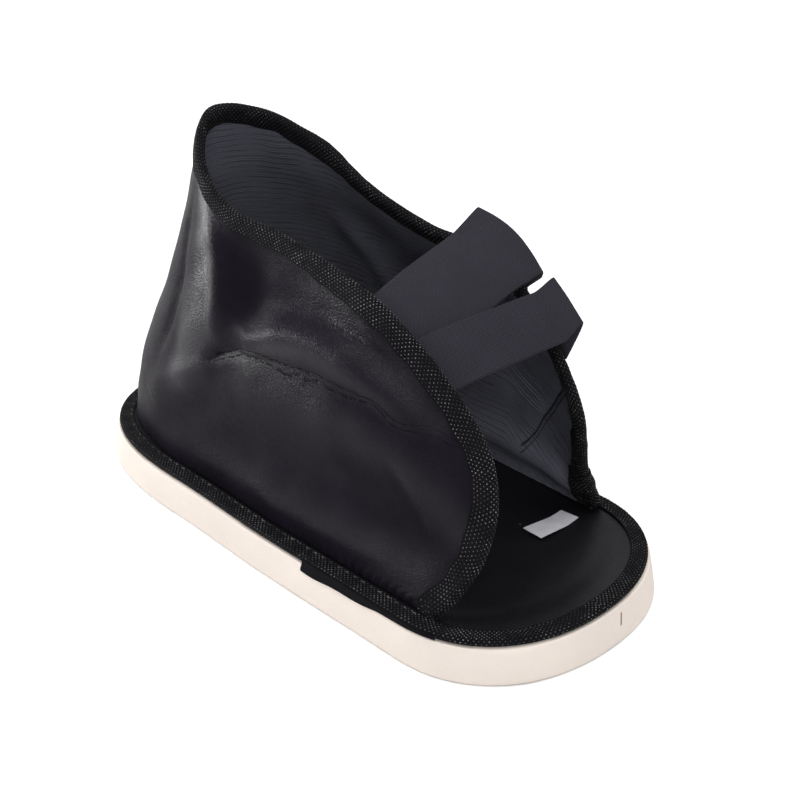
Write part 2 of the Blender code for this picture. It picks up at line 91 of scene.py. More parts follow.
def rows_of(columns, *rows):
    """A table: each row's numbers under the names of its columns."""
    names = columns.split()
    return [dict(zip(names, row)) for row in rows]


# The rear strap, then the front one. near, far: where the strap's middle crosses each flap's edge, as
# its distance from the heel's end in insole lengths. In metres: width, how high the fold stands over
# the edge at the strap's rear and front, how far its front lies under the other strap inside the near
# flap, and how far its rear and front are lifted off the edge.
STRAPS = rows_of(
    "width near far rear_rise front_rise sink rear_lift front_lift",
    (0.0400, 0.707, 0.693, 0.009775, 0.002550, 0.0024, 0.000, 0.000),
    (0.0265, 0.769, 0.802, 0.008500, 0.013375, 0.0000, 0.005, 0.009),
)

# Side of the foam: height as a share of SOLE_THICKNESS, spread as a share of SOLE_SPREAD
SOLE_SIDE = rows_of(
    "height spread",
    (0.00, 0.80), (0.03, 0.95), (0.07, 1.00), (0.50, 0.72), (0.88, 0.36), (0.96, 0.28), (1.00, 0.12),
)

# Sections of the upper from a flap's front corner towards the heel. foot: share of the run along the
# insole. along: distance from the heel's end in insole lengths. gap: distance from the middle in half
# throats. height: in back heights. low, mid, high: swelling in half ball widths.
NEAR_SECTIONS = rows_of(
    "foot along gap height low mid high",
    (0.022, 0.848, 1.84, 0.000, 0.00, 0.00, 0.00),
    (0.040, 0.876, 1.69, 0.080, 0.00, 0.00, 0.00),
    (0.070, 0.898, 1.39, 0.186, 0.01, 0.02, 0.01),
    (0.100, 0.900, 1.10, 0.331, 0.03, 0.05, 0.03),
    (0.135, 0.877, 0.98, 0.456, 0.05, 0.09, 0.06),
    (0.180, 0.810, 0.94, 0.585, 0.08, 0.14, 0.11),
    (0.255, 0.693, 1.00, 0.738, 0.11, 0.19, 0.15),
    (0.360, 0.573, 0.89, 0.779, 0.12, 0.21, 0.17),
    (0.495, 0.450, 0.85, 0.807, 0.12, 0.20, 0.16),
    (0.650, 0.340, 0.91, 0.828, 0.10, 0.14, 0.09),
    (0.830, 0.243, 0.62, 0.908, 0.06, 0.03, 0.01),
)
FAR_SECTIONS = rows_of(
    "foot along gap height low mid high",
    (0.022, 0.830, 1.84, 0.000, 0.00, 0.00, 0.00),
    (0.040, 0.832, 1.68, 0.086, 0.00, 0.00, 0.00),
    (0.070, 0.840, 1.40, 0.180, 0.01, 0.02, 0.01),
    (0.100, 0.857, 1.15, 0.299, 0.03, 0.05, 0.03),
    (0.135, 0.863, 1.00, 0.418, 0.05, 0.09, 0.06),
    (0.180, 0.830, 0.94, 0.560, 0.08, 0.14, 0.11),
    (0.255, 0.707, 1.00, 0.770, 0.11, 0.19, 0.15),
    (0.360, 0.580, 0.89, 0.795, 0.12, 0.21, 0.17),
    (0.495, 0.450, 0.85, 0.855, 0.12, 0.20, 0.16),
    (0.650, 0.338, 0.90, 0.925, 0.10, 0.14, 0.09),
    (0.830, 0.239, 0.62, 0.986, 0.06, 0.03, 0.01),
)
HEEL_SECTION = rows_of("foot along gap height low mid high", (1.0, 0.196, 0.0, 1.0, 0.01, -0.05, -0.05))[0]

# Folds laid into the wall, each a line of places on one side of the boot.
# along: millimetres ahead of the middle of the insole. height: millimetres above the floor.
# rise: millimetres out of the wall, or into it if negative. width: millimetres to each side.
# A line's title says what it is, and its number is the side: -1 near, 1 far.
FOLD = "along height rise width"
FOLDS = (
    (-1, "heel ridge", rows_of(FOLD,
        (-70, 158, 0.0, 5), (-56, 141, 2.4, 5), (-45, 127, 3.4, 5), (-40, 112, 3.2, 5), (-38, 95, 0.0, 5)
    )),
    (-1, "heel corner line", rows_of(FOLD,
        (-77, 158, 0.0, 2.2), (-77, 130, -1.3, 2.2), (-78, 104, -1.5, 2.2), (-84, 82, -1.2, 2.6),
        (-92, 62, 0.0, 3)
    )),
    (-1, "heel hollow", rows_of(FOLD,
        (-80, 126, 0.0, 8), (-76, 106, -1.6, 9), (-74, 86, -1.8, 9), (-76, 72, 0.0, 8)
    )),
    (-1, "hollow behind ridge", rows_of(FOLD,
        (-42, 148, 0.0, 8), (-32, 134, -3.6, 10), (-22, 120, -4.6, 11), (-22, 106, 0.0, 8)
    )),
    (-1, "heel bulge", rows_of(FOLD,
        (-98, 46, 0.0, 6), (-84, 57, 1.6, 6), (-64, 69, 2.2, 6), (-44, 81, 1.2, 5), (-36, 88, 0.0, 4)
    )),
    (-1, "under heel bulge", rows_of(FOLD,
        (-96, 36, 0.0, 9), (-76, 44, -1.8, 10), (-50, 60, -2.4, 9), (-28, 74, 0.0, 9)
    )),
    (-1, "pinch", rows_of(FOLD,
        (-44, 85, 0.0, 2.6), (-38, 90, -3.6, 2.8), (-28, 96, -3.4, 3.2), (-14, 101, 0.0, 4.0)
    )),
    (-1, "shoulder", rows_of(FOLD,
        (-34, 93, 0.0, 5), (-20, 100, 1.6, 5), (-5, 107, 3.0, 5), (8, 113, 4.6, 6), (26, 115, 3.8, 6),
        (46, 113, 3.4, 6), (62, 108, 3.0, 6), (76, 101, 2.0, 5), (86, 94, 0.0, 4)
    )),
    (-1, "valley under tape", rows_of(FOLD,
        (-28, 122, 0.0, 7), (-8, 124, -2.8, 7), (14, 126, -3.2, 7), (42, 125, -3.2, 6),
        (68, 117, -2.6, 5), (90, 104, 0.0, 5)
    )),
    (-1, "step under shoulder", rows_of(FOLD,
        (-34, 90, 0.0, 3.5), (-18, 97, -1.4, 3.5), (0, 101, -1.6, 3.5), (22, 103, -1.6, 3.5),
        (44, 103, -1.5, 3.5), (62, 101, -1.3, 3.5), (80, 94, 0.0, 4)
    )),
    (-1, "gleam", rows_of(FOLD,
        (-34, 76, 0.0, 10), (-10, 85, 1.8, 10), (30, 88, 2.4, 10), (62, 86, 2.4, 10), (90, 77, 2.0, 9),
        (108, 62, 0.0, 9)
    )),
    (-1, "middle hollow", rows_of(FOLD,
        (-34, 54, 0.0, 12), (-6, 60, -2.4, 12), (30, 62, -3.4, 12), (62, 60, -3.0, 11),
        (88, 52, -2.2, 10), (104, 44, 0.0, 9)
    )),
    (-1, "front crease", rows_of(FOLD,
        (70, 84, 0.0, 3), (80, 72, -1.0, 3), (90, 58, -0.9, 3), (96, 46, 0.0, 4)
    )),
    (-1, "low bulge", rows_of(FOLD,
        (-78, 30, 0.0, 7), (-46, 33, 1.2, 8), (0, 36, 1.8, 9), (50, 35, 1.8, 9), (90, 32, 0.0, 8)
    )),
    (1, "far shoulder", rows_of(FOLD,
        (-30, 96, 0.0, 7), (-8, 108, 2.2, 7), (20, 114, 2.8, 7), (48, 112, 2.2, 7), (76, 98, 0.0, 6)
    )),
    (1, "far hollow", rows_of(FOLD,
        (-50, 58, 0.0, 12), (-10, 64, -2.2, 12), (30, 66, -2.6, 12), (60, 62, -1.6, 11), (80, 54, 0.0, 9)
    )),
    (1, "far heel hollow", rows_of(FOLD,
        (-60, 122, 0.0, 7), (-44, 113, -2.8, 9), (-34, 99, -2.2, 8), (-30, 84, 0.0, 8)
    )),
    (1, "far front dent", rows_of(FOLD,
        (98, 94, 0.0, 3), (87, 81, 1.2, 3), (73, 62, 1.4, 3), (58, 40, 0.0, 4)
    )),
    (1, "far foot roll", rows_of(FOLD,
        (0, 30, 0.0, 7), (30, 32, -2.6, 8), (64, 34, -3.8, 8), (90, 32, -3.2, 7), (106, 28, 0.0, 6)
    )),
)


# Where the coated fabric is rubbed glossy, laid out as the folds are. amount: 0 dull, 1 full gloss
GLOSS = "along height amount width"
BACK_GLOSS = rows_of(
    GLOSS, (-134, 40, 0.1, 8), (-124, 78, 0.3, 9), (-110, 118, 0.35, 9), (-99, 158, 0.2, 7)
)
SHINE = (
    (-1, "heel plane", rows_of(GLOSS,
        (-70, 156, 0.70, 4), (-60, 138, 0.66, 6), (-53, 121, 0.64, 8), (-52, 104, 0.60, 11),
        (-56, 86, 0.45, 12), (-64, 72, 0.28, 9)
    )),
    (-1, "shoulder crest", rows_of(GLOSS,
        (-36, 91, 0.1, 4), (-20, 97, 0.2, 5), (-5, 103, 0.35, 6), (8, 109, 0.42, 7), (24, 111, 0.30, 8),
        (58, 107, 0.22, 7), (80, 96, 0.12, 5)
    )),
    (-1, "gleam", rows_of(GLOSS,
        (-34, 84, 0.05, 7), (-4, 92, 0.14, 9), (30, 93, 0.20, 9), (60, 88, 0.24, 9), (86, 77, 0.24, 9),
        (106, 60, 0.22, 8)
    )),
    (-1, "low band", rows_of(GLOSS,
        (-60, 30, 0.0, 7), (0, 36, 0.06, 9), (50, 37, 0.16, 10), (90, 34, 0.26, 10)
    )),
    (-1, "under the tape", rows_of(GLOSS,
        (-10, 134, 0.0, 6), (20, 132, 0.16, 6), (60, 118, 0.20, 6), (90, 98, 0.18, 5)
    )),
    (1, "far crest", rows_of(GLOSS, (-30, 96, 0.2, 7), (20, 112, 0.7, 9), (76, 98, 0.4, 7))),
    (1, "far heel plane", rows_of(GLOSS, (-70, 150, 0.7, 8), (-62, 110, 0.8, 10), (-66, 66, 0.4, 10))),
    (-1, "back", BACK_GLOSS),
    (1, "far back", BACK_GLOSS),
    (1, "far low band", rows_of(GLOSS, (-60, 34, 0.2, 9), (30, 38, 0.5, 11), (90, 34, 0.3, 9))),
)


# Where the coated fabric is wrinkled into coarse grain
GRAIN = (
    (-1, "low rear", rows_of(GLOSS,
        (-66, 36, 0.4, 7), (-40, 36, 0.9, 8), (-10, 36, 1.0, 8), (20, 34, 0.8, 8), (44, 32, 0.2, 7)
    )),
    (-1, "low front", rows_of(GLOSS, (58, 36, 0.4, 8), (80, 36, 1.0, 10), (102, 38, 0.9, 9))),
    (-1, "beside the tape", rows_of(GLOSS,
        (-12, 130, 0.4, 7), (10, 129, 0.9, 7), (40, 126, 1.0, 7), (66, 115, 1.0, 7), (88, 100, 0.6, 5)
    )),
    (1, "far low", rows_of(GLOSS, (-60, 36, 0.6, 8), (0, 36, 0.9, 9), (90, 36, 0.8, 9))),
)


def length(name, description, default):
    """A size in metres that a user can change."""
    return FloatProperty(name=name, description=description, default=default, unit="LENGTH")


def colour(name, description, default):
    """A colour that a user can change."""
    return FloatVectorProperty(name=name, description=description, default=default, subtype="COLOR")


def power(name, description, default):
    """A light's power that a user can change."""
    return FloatProperty(name=name, description=description, default=default, unit="POWER")


class BootSizes(bpy.types.PropertyGroup):
    """Driving sizes of the boot."""

    insole_length: length("Insole length", "Length of the bound insole", 0.300)
    heel_width: length("Heel width", "Width of the insole at the heel", 0.1236)
    waist_width: length("Waist width", "Width of the insole at the waist", 0.1274)
    ball_width: length("Ball width", "Width of the insole at the ball", 0.1268)
    back_height: length("Back height", "Height of the heel's peak above the insole", 0.1594)
    throat_gap: length("Throat gap", "Distance between the two flaps", 0.059)
    wall: length("Wall", "Thickness of the wall", 0.0024)
    tape_width: length("Tape width", "Width that shows of the edge tape", 0.0095)
    tape: length("Tape", "Thickness of the tapes", 0.0007)
    strap: length("Strap", "Thickness of the elastic", 0.0014)
    knot_pitch: length("Knot pitch", "Distance between the tape's light threads", 0.0021)
    stitch_pitch: length("Stitch pitch", "Distance between the seam's stitches", 0.0052)
    folds: FloatProperty(
        name="Folds", description="Strength of the folds in the wall", default=1.0, subtype="FACTOR"
    )
    seed: IntProperty(name="Seed", description="Seed of the thread's small unevenness", default=7)


class BootColours(bpy.types.PropertyGroup):
    """Colours of the boot's materials."""

    foam: colour("Foam", "Cream foam", (0.74, 0.665, 0.605))
    leather: colour("Coated fabric", "Black outer fabric", (0.0060, 0.0044, 0.0079))
    lining: colour("Lining", "Grey ribbed lining", (0.104, 0.107, 0.132))
    tape: colour("Tape", "Black woven tape", (0.0042, 0.0041, 0.0052))
    thread: colour("Thread", "Light threads in the tape and the seams", (0.20, 0.19, 0.19))
    elastic: colour("Elastic", "Strap webbing", (0.0185, 0.0172, 0.0240))
    insole: colour("Insole", "Smooth black insole cover", (0.0045, 0.0042, 0.0056))
    label: colour("Label", "Bare label", (0.62, 0.62, 0.66))


class StudioSettings(bpy.types.PropertyGroup):
    """Floor and light around the boot."""

    floor: colour("Floor", "Colour of the floor", (0.92, 0.92, 0.92))
    world: FloatProperty(name="Room light", description="Strength of the light from all round", default=0.8)
    top: power("Top light", "Power of the large light above", 56.0)
    side: power("Side light", "Power of the light at the boot's near side", 2.5)
    rear: power("Rear light", "Power of the light behind the heel", 12.0)
    front: power("Front light", "Power of the light ahead of the boot", 10.0)


# Curves and outlines


def ease(share):
    """Ease from 0 to 1, for one number or many."""
    share = np.clip(share, 0.0, 1.0)
    return share * share * (3 - 2 * share)


def smooth_rows(points, steps):
    """Smooth curves through rows of points, one curve for each place in a row."""
    points = np.asarray(points, float)
    ends = np.concatenate([2 * points[:1] - points[1:2], points, 2 * points[-1:] - points[-2:-1]])
    share = (np.arange(steps) / steps).reshape((-1,) + (1,) * (points.ndim - 1))
    made = []
    for before, start, end, after in zip(ends, ends[1:], ends[2:], ends[3:]):
        first, middle, last = [
            np.sqrt(np.maximum(np.linalg.norm(b - a, axis=-1, keepdims=True), TINY))
            for a, b in ((before, start), (start, end), (end, after))
        ]
        ahead = (end - start) / middle
        lead_in = ((start - before) / first - (end - before) / (first + middle) + ahead) * middle
        lead_out = (ahead - (after - start) / (middle + last) + (after - end) / last) * middle
        made.append(
            start * (2 * share**3 - 3 * share**2 + 1)
            + lead_in * (share**3 - 2 * share**2 + share)
            + end * (3 * share**2 - 2 * share**3)
            + lead_out * (share**3 - share**2)
        )
    made.append(points[-1:])
    return np.concatenate(made)


def lengths_along(path):
    """Distance of each point of a path from its start."""
    steps = np.linalg.norm(np.diff(path, axis=0), axis=-1)
    return np.concatenate([[0.0], np.cumsum(steps)])


def at_lengths(path, wanted):
    """Points of a path at given distances from its start."""
    runs = lengths_along(path)
    return np.stack([np.interp(wanted, runs, path[:, axis]) for axis in range(path.shape[1])], 1)


def spread_evenly(path, count):
    """Points at even distances along a path."""
    return at_lengths(path, np.linspace(0, lengths_along(path)[-1], count))


def cut_above(path, level):
    """The end of a path above a level, from where it last rises through it."""
    below = np.nonzero(path[:-1, 2] < level)[0]
    if len(below) == 0:
        return path
    index = below[-1]
    lower, upper = path[index], path[index + 1]
    start = lower + (upper - lower) * (level - lower[2]) / (upper[2] - lower[2])
    return np.concatenate([start[None], path[index + 1:]])


def insole_outline(sizes):
    """The far half of the insole's outline at even distances, from the heel's tip to the toe's tip."""
    turn = np.linspace(0, math.pi / 2, 91)
    heel_side = sizes.insole_length / 2 - HEEL_ROUND_LENGTH
    toe_side = TOE_ROUND_LENGTH - sizes.insole_length / 2
    heel = np.stack([
        sizes.heel_width / 2 * np.sin(turn) ** (2 / HEEL_SQUARENESS),
        heel_side + HEEL_ROUND_LENGTH * np.clip(np.cos(turn), 0, 1) ** (2 / HEEL_SQUARENESS),
    ], 1)
    share = np.linspace(0, 1, 61)[1:-1]
    late_share = (share - WAIST_PLACE) / (1 - WAIST_PLACE)
    early = sizes.heel_width + (sizes.waist_width - sizes.heel_width) * ease(share / WAIST_PLACE)
    late = sizes.waist_width + (sizes.ball_width - sizes.waist_width) * ease(late_share)
    width = np.where(share < WAIST_PLACE, early, late)
    side = np.stack([width / 2, heel_side + (toe_side - heel_side) * share], 1)
    toe = np.stack([
        sizes.ball_width / 2 * np.clip(np.cos(turn), 0, 1) ** (2 / TOE_SQUARENESS),
        toe_side - TOE_ROUND_LENGTH * np.sin(turn) ** (2 / TOE_SQUARENESS),
    ], 1)
    return spread_evenly(np.concatenate([heel, side, toe]), 241)


def rim_places(sizes, shares, inset=0.0):
    """Places on the insole's outline, moved in from it, and the ways out of it.

    A share runs from 0 at the heel to 1 at the toe, and is negative on the near side.
    """
    half = insole_outline(sizes)
    last = len(half) - 1
    shares = np.atleast_1d(np.asarray(shares, float))
    place = np.clip(np.abs(shares), 0, 1) * last
    point = np.stack([np.interp(place, np.arange(last + 1), half[:, axis]) for axis in (0, 1)], 1)
    index = np.minimum(place.astype(int), last - 1)
    run = half[np.minimum(index + 2, last)] - half[np.maximum(index - 1, 0)]
    run /= np.linalg.norm(run, axis=1, keepdims=True)
    run[np.abs(shares) < TINY] = (1, 0)
    run[np.abs(shares) > 1 - TINY] = (-1, 0)
    outward = np.stack([-run[:, 1], run[:, 0]], 1)
    mirror = np.where(shares < 0, -1, 1)
    point[:, 0] *= mirror
    outward[:, 0] *= mirror
    return point - outward * inset, outward


def rim_share_at(sizes, back_distance):
    """Share of the rim at a distance from the heel's end."""
    half = insole_outline(sizes)
    wanted = sizes.insole_length / 2 - back_distance
    return float(np.interp(-wanted, -half[:, 1], np.linspace(0, 1, len(half))))


class Levels:
    """Heights of the stack and the distances between its layers."""

    def __init__(self, sizes):
        self.rim_base = SOLE_THICKNESS + CLEARANCE
        self.insole_base = self.rim_base + sizes.tape + CLEARANCE
        self.insole_top = self.insole_base + INSOLE_THICKNESS
        self.upper_base = self.insole_top + CLEARANCE
        self.rim_top = self.insole_top + CLEARANCE + sizes.tape
        self.wall_inset = RIM_TAPE_LAP + WALL_FOOT_GAP + sizes.wall / 2
        self.tape_standoff = sizes.wall / 2 + CLEARANCE + sizes.tape / 2
        self.tape_reach = self.tape_standoff + sizes.tape / 2
        self.strap_standoff = self.tape_reach + STRAP_CLEARANCE + sizes.strap / 2


# The wall of the upper


# A strip up the middle of the heel that no fold reaches, and how far out they come in, in metres
HEEL_MIDDLE = 0.004
HEEL_FADE = 0.010
# Where the folds start above the wall's foot, and the gathers of the foot seam, in metres
FOLD_START = 0.014
GATHER_DEPTH = 0.0002
GATHER_HEIGHT = 0.003
# How far the gathers drift out of step with the stitches, in radians, and over what length
GATHER_DRIFT = 1.5
GATHER_DRIFT_LENGTH = 0.021
# Share of the wall's height from which the tape holds the folds down
CALM_FROM = 0.86


# Soft unevenness of the pieces: size of its humps and its depth in metres, and its seed
UNEVEN = {
    "wall, broad": (0.060, 0.0006, 3),
    "wall, fine": (0.020, 0.00022, 5),
    "foam side": (0.030, 0.00025, 11),
    "insole": (0.070, 0.00022, 21),
    "strap": (0.030, 0.0002, 31),
    "tape crinkle": (0.0065, 0.00014, 41),
    "tape width": (0.016, 0.00085, 43),
    "tape lump": (0.030, 0.00045, 47),
}


def uneven(points, name):
    """A smooth random field of one of the named kinds, in metres."""
    size, depth, seed = UNEVEN[name]
    random = np.random.default_rng(seed)
    total = np.zeros(len(points))
    for _ in range(9):
        way = random.normal(size=3)
        way *= 2 * math.pi / (size * random.uniform(0.7, 1.8) * np.linalg.norm(way))
        total += np.sin(points @ way + random.uniform(0, 2 * math.pi))
    return total / 3 * depth


def field_of(points, lines, value, join):
    """What lines laid on the wall come to at each point: each one's value fades off to its sides."""
    total = np.zeros(len(points))
    for side, _, rows in lines:
        path = np.array([[-row["along"] / 1000, row["height"] / 1000] for row in rows])
        worth = np.array([[row[value], row["width"] / 1000] for row in rows])
        path = smooth_rows(path[:, None], 12)[:, 0]
        worth = smooth_rows(worth[:, None], 12)[:, 0]
        here = (points[:, 0] * side > HEEL_MIDDLE).nonzero()[0]
        away = np.linalg.norm(points[here][:, None, 1:] - path[None], axis=2)
        nearest = away.argmin(1)
        fade = np.exp(-(away.min(1) / np.maximum(worth[nearest, 1], 0.001)) ** 2)
        hold = ease((np.abs(points[here, 0]) - HEEL_MIDDLE) / HEEL_FADE)
        total[here] = join(total[here], worth[nearest, 0] * fade * hold)
    return total


def fold_amount(points, strength):
    """How far out of the wall each point is moved by the folds, in metres."""
    total = field_of(points, FOLDS, "rise", np.add) / 1000
    total += uneven(points, "wall, broad") + uneven(points, "wall, fine")
    return total * strength


def corner_share(sizes, levels, side):
    """Share of the rim at a flap's front corner."""
    reach = NEAR_FLAP_REACH if side < 0 else FAR_FLAP_REACH
    return side * rim_share_at(sizes, reach - levels.tape_reach)


def section_knots(sizes, levels, row, side):
    """Points up one section of the wall, from below its foot to its free edge."""
    share = corner_share(sizes, levels, side) * (1 - row["foot"])
    place, way = rim_places(sizes, share, levels.wall_inset)
    foot = np.array([*place[0], 0.0])
    outward = np.array([*way[0], 0.0])
    edge = np.array([
        side * row["gap"] * sizes.throat_gap / 2,
        sizes.insole_length * (0.5 - row["along"]),
        levels.insole_top + row["height"] * sizes.back_height,
    ])
    below = foot + (0, 0, levels.upper_base - WALL_ALLOWANCE)
    welt = foot + (0, 0, levels.upper_base + min(WELT_HEIGHT, row["height"] * sizes.back_height / 4))
    edge = edge + (welt - edge) / np.linalg.norm(welt - edge) * levels.tape_reach
    knots = [below, welt]
    for name, share in (("low", 0.25), ("mid", 0.5), ("high", 0.75)):
        knots.append(welt + (edge - welt) * share + outward * row[name] * sizes.ball_width / 2)
    return knots + [edge]


def grid_normals(grid):
    """The way out of a grid of points, each row of it running from foot to edge."""
    along = np.gradient(grid, axis=0)
    up = np.gradient(grid, axis=1)
    normal = np.cross(up, along)
    return normal / np.maximum(np.linalg.norm(normal, axis=2, keepdims=True), TINY**2)


def wall_columns(sizes, levels, steps, rows):
    """Columns of points up the wall, from the near flap's corner over the heel to the far one."""
    sections = [section_knots(sizes, levels, row, -1) for row in NEAR_SECTIONS]
    sections += [section_knots(sizes, levels, HEEL_SECTION, 1)]
    sections += [section_knots(sizes, levels, row, 1) for row in FAR_SECTIONS[::-1]]
    corners = []
    for side in (-1, 1):
        place = rim_places(sizes, corner_share(sizes, levels, side), levels.wall_inset)[0][0]
        corners.append([np.array([*place, levels.upper_base - WALL_ALLOWANCE])] * len(sections[0]))
    columns = []
    for knots in smooth_rows(np.array([corners[0]] + sections + [corners[1]]), steps):
        path = smooth_rows(knots[:, None], 8)[:, 0]
        if path[-1, 2] < levels.upper_base + WELT_HEIGHT / 2:
            continue
        columns.append(spread_evenly(cut_above(path, levels.upper_base), rows + 1))
    low_near, low_far = columns[0].copy(), columns[-1].copy()
    low_near[:, 2] = low_far[:, 2] = levels.upper_base
    return np.array([low_near] + columns + [low_far])


class Wall:
    """The upper's middle surface, from the near flap's corner over the heel to the far flap's corner."""

    def __init__(self, sizes, steps=14, rows=96):
        levels = Levels(sizes)
        grid = wall_columns(sizes, levels, steps, rows)
        amount = fold_amount(grid.reshape(-1, 3), sizes.folds).reshape(grid.shape[:2])
        above = grid[:, :, 2] - levels.upper_base
        amount *= ease(above / FOLD_START)
        foot_run = lengths_along(grid[:, 0])[:, None]
        drift = GATHER_DRIFT * np.sin(foot_run / GATHER_DRIFT_LENGTH)
        gather = np.sin(foot_run * 2 * math.pi / sizes.stitch_pitch + drift)
        amount += GATHER_DEPTH * gather * np.exp(-((above - GATHER_HEIGHT) / GATHER_HEIGHT) ** 2)
        share = np.linspace(0, 1, rows + 1)
        amount *= 1 - 0.75 * ease((share - CALM_FROM) / (1 - CALM_FROM))
        self.grid = grid + self.ways_out(grid) * amount[:, :, None]
        self.normals = self.ways_out(self.grid)
        self.shape = self.grid.shape[:2]
        n, m = self.shape
        index = np.arange(n * m).reshape(n, m)
        corners = [index[:-1, :-1], index[:-1, 1:], index[1:, 1:], index[1:, :-1]]
        self.faces = np.stack(corners, 2).reshape(-1, 4)
        self.tree = BVHTree.FromPolygons(self.grid.reshape(-1, 3).tolist(), self.faces.tolist())
        self.edge = self.grid[:, -1]
        self.runs = lengths_along(self.edge)

    def ways_out(self, grid):
        """The way out at each point, with the flat end columns taking their neighbours' ways."""
        normals = grid_normals(grid)
        normals[0], normals[-1] = normals[1], normals[-2]
        return normals

    def nearest(self, point):
        """The nearest point of the wall, and the way out of the boot there."""
        place, _, face, _ = self.tree.find_nearest(Vector(point))
        corners = self.faces[face]
        away = np.linalg.norm(self.grid.reshape(-1, 3)[corners] - np.array(place), axis=1)
        weight = 1 / np.maximum(away, TINY)
        normal = (self.normals.reshape(-1, 3)[corners] * weight[:, None]).sum(0)
        return np.array(place), normal / np.linalg.norm(normal)

    def offset(self, point, distance):
        """The point moved on to the wall, then out of it by a distance."""
        place, outward = self.nearest(point)
        return place + outward * distance

    def edge_frame(self, index):
        """A point of the free edge, the way out of the boot, and the way down the wall."""
        last = len(self.edge) - 1
        run = self.edge[min(index + 3, last)] - self.edge[max(index - 3, 0)]
        outward = self.normals[index, -3]
        down = np.cross(outward, run)
        down /= np.linalg.norm(down)
        near_heel = ease(1 - abs(index / last - 0.5) * 2 / 0.25)
        fall = self.grid[index, -9] - self.grid[index, -1]
        down = down * (1 - near_heel) + fall / np.linalg.norm(fall) * near_heel
        return self.edge[index], outward, down / np.linalg.norm(down)

    def edge_run(self, side, along, sizes):
        """How far along the free edge the throat reaches this distance from the heel's end."""
        wanted = sizes.insole_length * (0.5 - along)
        index = len(self.edge) // 2
        while self.edge[index + side, 1] > wanted:
            index += side
        start, end = self.edge[index, 1], self.edge[index + side, 1]
        step = self.runs[index + side] - self.runs[index]
        return self.runs[index] + step * (start - wanted) / (start - end)

    def edge_frame_at(self, run):
        """The free edge's frame at a distance along it."""
        index = int(np.searchsorted(self.runs, run)) - 1
        share = (run - self.runs[index]) / (self.runs[index + 1] - self.runs[index])
        first, second = self.edge_frame(index), self.edge_frame(index + 1)
        return tuple(one * (1 - share) + two * share for one, two in zip(first, second))


# Meshes


def lattice_body(name, outer, inner, run=None, across=None, closed=False):
    """A closed body between two grids of points, with a UV map in metres along and across it."""
    n, m = outer.shape[:2]
    points = np.concatenate([outer.reshape(-1, 3), inner.reshape(-1, 3)])
    index = np.arange(n * m).reshape(n, m)
    if run is None:
        run = lengths_along(outer[:, m // 2])
    if closed:
        index = np.concatenate([index, index[:1]])
        run = np.append(run, run[-1] + (run[-1] - run[-2]))
    if across is None:
        across = lengths_along(outer[n // 2])
    u = np.repeat(run[:, None], m, 1)
    v = np.repeat(across[None, :], len(run), 0)
    faces = []
    uvs = []
    kinds = []

    def add(a, b, c, d, picks, kind):
        faces.append(np.stack([a.ravel(), b.ravel(), c.ravel(), d.ravel()], 1))
        uvs.append(np.stack([np.stack([u[p].ravel(), v[p].ravel()], 1) for p in picks], 1))
        kinds.append(np.full(a.size, kind))

    here, up, over, side = np.s_[:-1, :-1], np.s_[:-1, 1:], np.s_[1:, 1:], np.s_[1:, :-1]
    add(index[here], index[up], index[over], index[side], (here, up, over, side), 0)
    inside = index + n * m
    add(inside[here], inside[side], inside[over], inside[up], (here, side, over, up), 1)
    for row in (0, m - 1):
        one, two = np.s_[:-1, row:row + 1], np.s_[1:, row:row + 1]
        add(index[one], index[two], inside[two], inside[one], (one, two, two, one), 0)
        if row:
            faces[-1] = faces[-1][:, ::-1]
    if not closed:
        for column in (0, n - 1):
            one, two = np.s_[column:column + 1, :-1], np.s_[column:column + 1, 1:]
            add(index[one], inside[one], inside[two], index[two], (one, one, two, two), 0)
            if column:
                faces[-1] = faces[-1][:, ::-1]
    mesh = bpy.data.meshes.new(name)
    mesh.from_pydata(points.tolist(), [], np.concatenate(faces).tolist())
    layer = mesh.uv_layers.new(name="UVMap")
    layer.data.foreach_set("uv", np.concatenate(uvs).reshape(-1).astype(np.float32))
    mesh.polygons.foreach_set("material_index", np.concatenate(kinds).astype(np.int32))
    return mesh


def settle(mesh, crease=math.radians(50)):
    """Merge doubles, turn every face of a closed mesh outward, and shade it smooth."""
    shape = bmesh.new()
    shape.from_mesh(mesh)
    bmesh.ops.remove_doubles(shape, verts=shape.verts, dist=TINY)
    bare = [edge for edge in shape.edges if not edge.link_faces]
    bmesh.ops.delete(shape, geom=bare, context="EDGES")
    if shape.calc_volume(signed=True) < 0:
        bmesh.ops.reverse_faces(shape, faces=shape.faces)
    shape.to_mesh(mesh)
    shape.free()
    mesh.shade_smooth()
    mesh.set_sharp_from_angle(angle=crease)
    return mesh


def add_piece(name, mesh, finishes, slot, *nodes):
    """Link a finished mesh to the scene, riding on the boot's body."""
    for finish in finishes:
        mesh.materials.append(finish)
    if len(finishes) == 1:
        mesh.polygons.foreach_set("material_index", np.zeros(len(mesh.polygons), np.int32))
    piece = bpy.data.objects.new(name, mesh)
    bpy.context.scene.collection.objects.link(piece)
    if nodes:
        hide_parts(*nodes)
    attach(piece, "root")
    return piece


# Shader maths


def add_node(tree, kind, settings=None, sockets=None):
    """Add a node, set it, then fill its sockets with values or links. Gives its outputs."""
    made = tree.nodes.new(kind)
    for key, value in (settings or {}).items():
        if key == "curve":
            set_curve(made.mapping, value)
        else:
            setattr(made, key, value)
    for key, value in (sockets or {}).items():
        if isinstance(value, bpy.types.NodeSocket):
            tree.links.new(value, made.inputs[key])
        else:
            made.inputs[key].default_value = value
    return made.outputs


def set_curve(mapping, places):
    """Lay the first curve of a curve node through places."""
    line = mapping.curves[0]
    while len(line.points) < len(places):
        line.points.new(0.5, 0.5)
    for point, place in zip(line.points, places):
        point.location = place
    mapping.update()


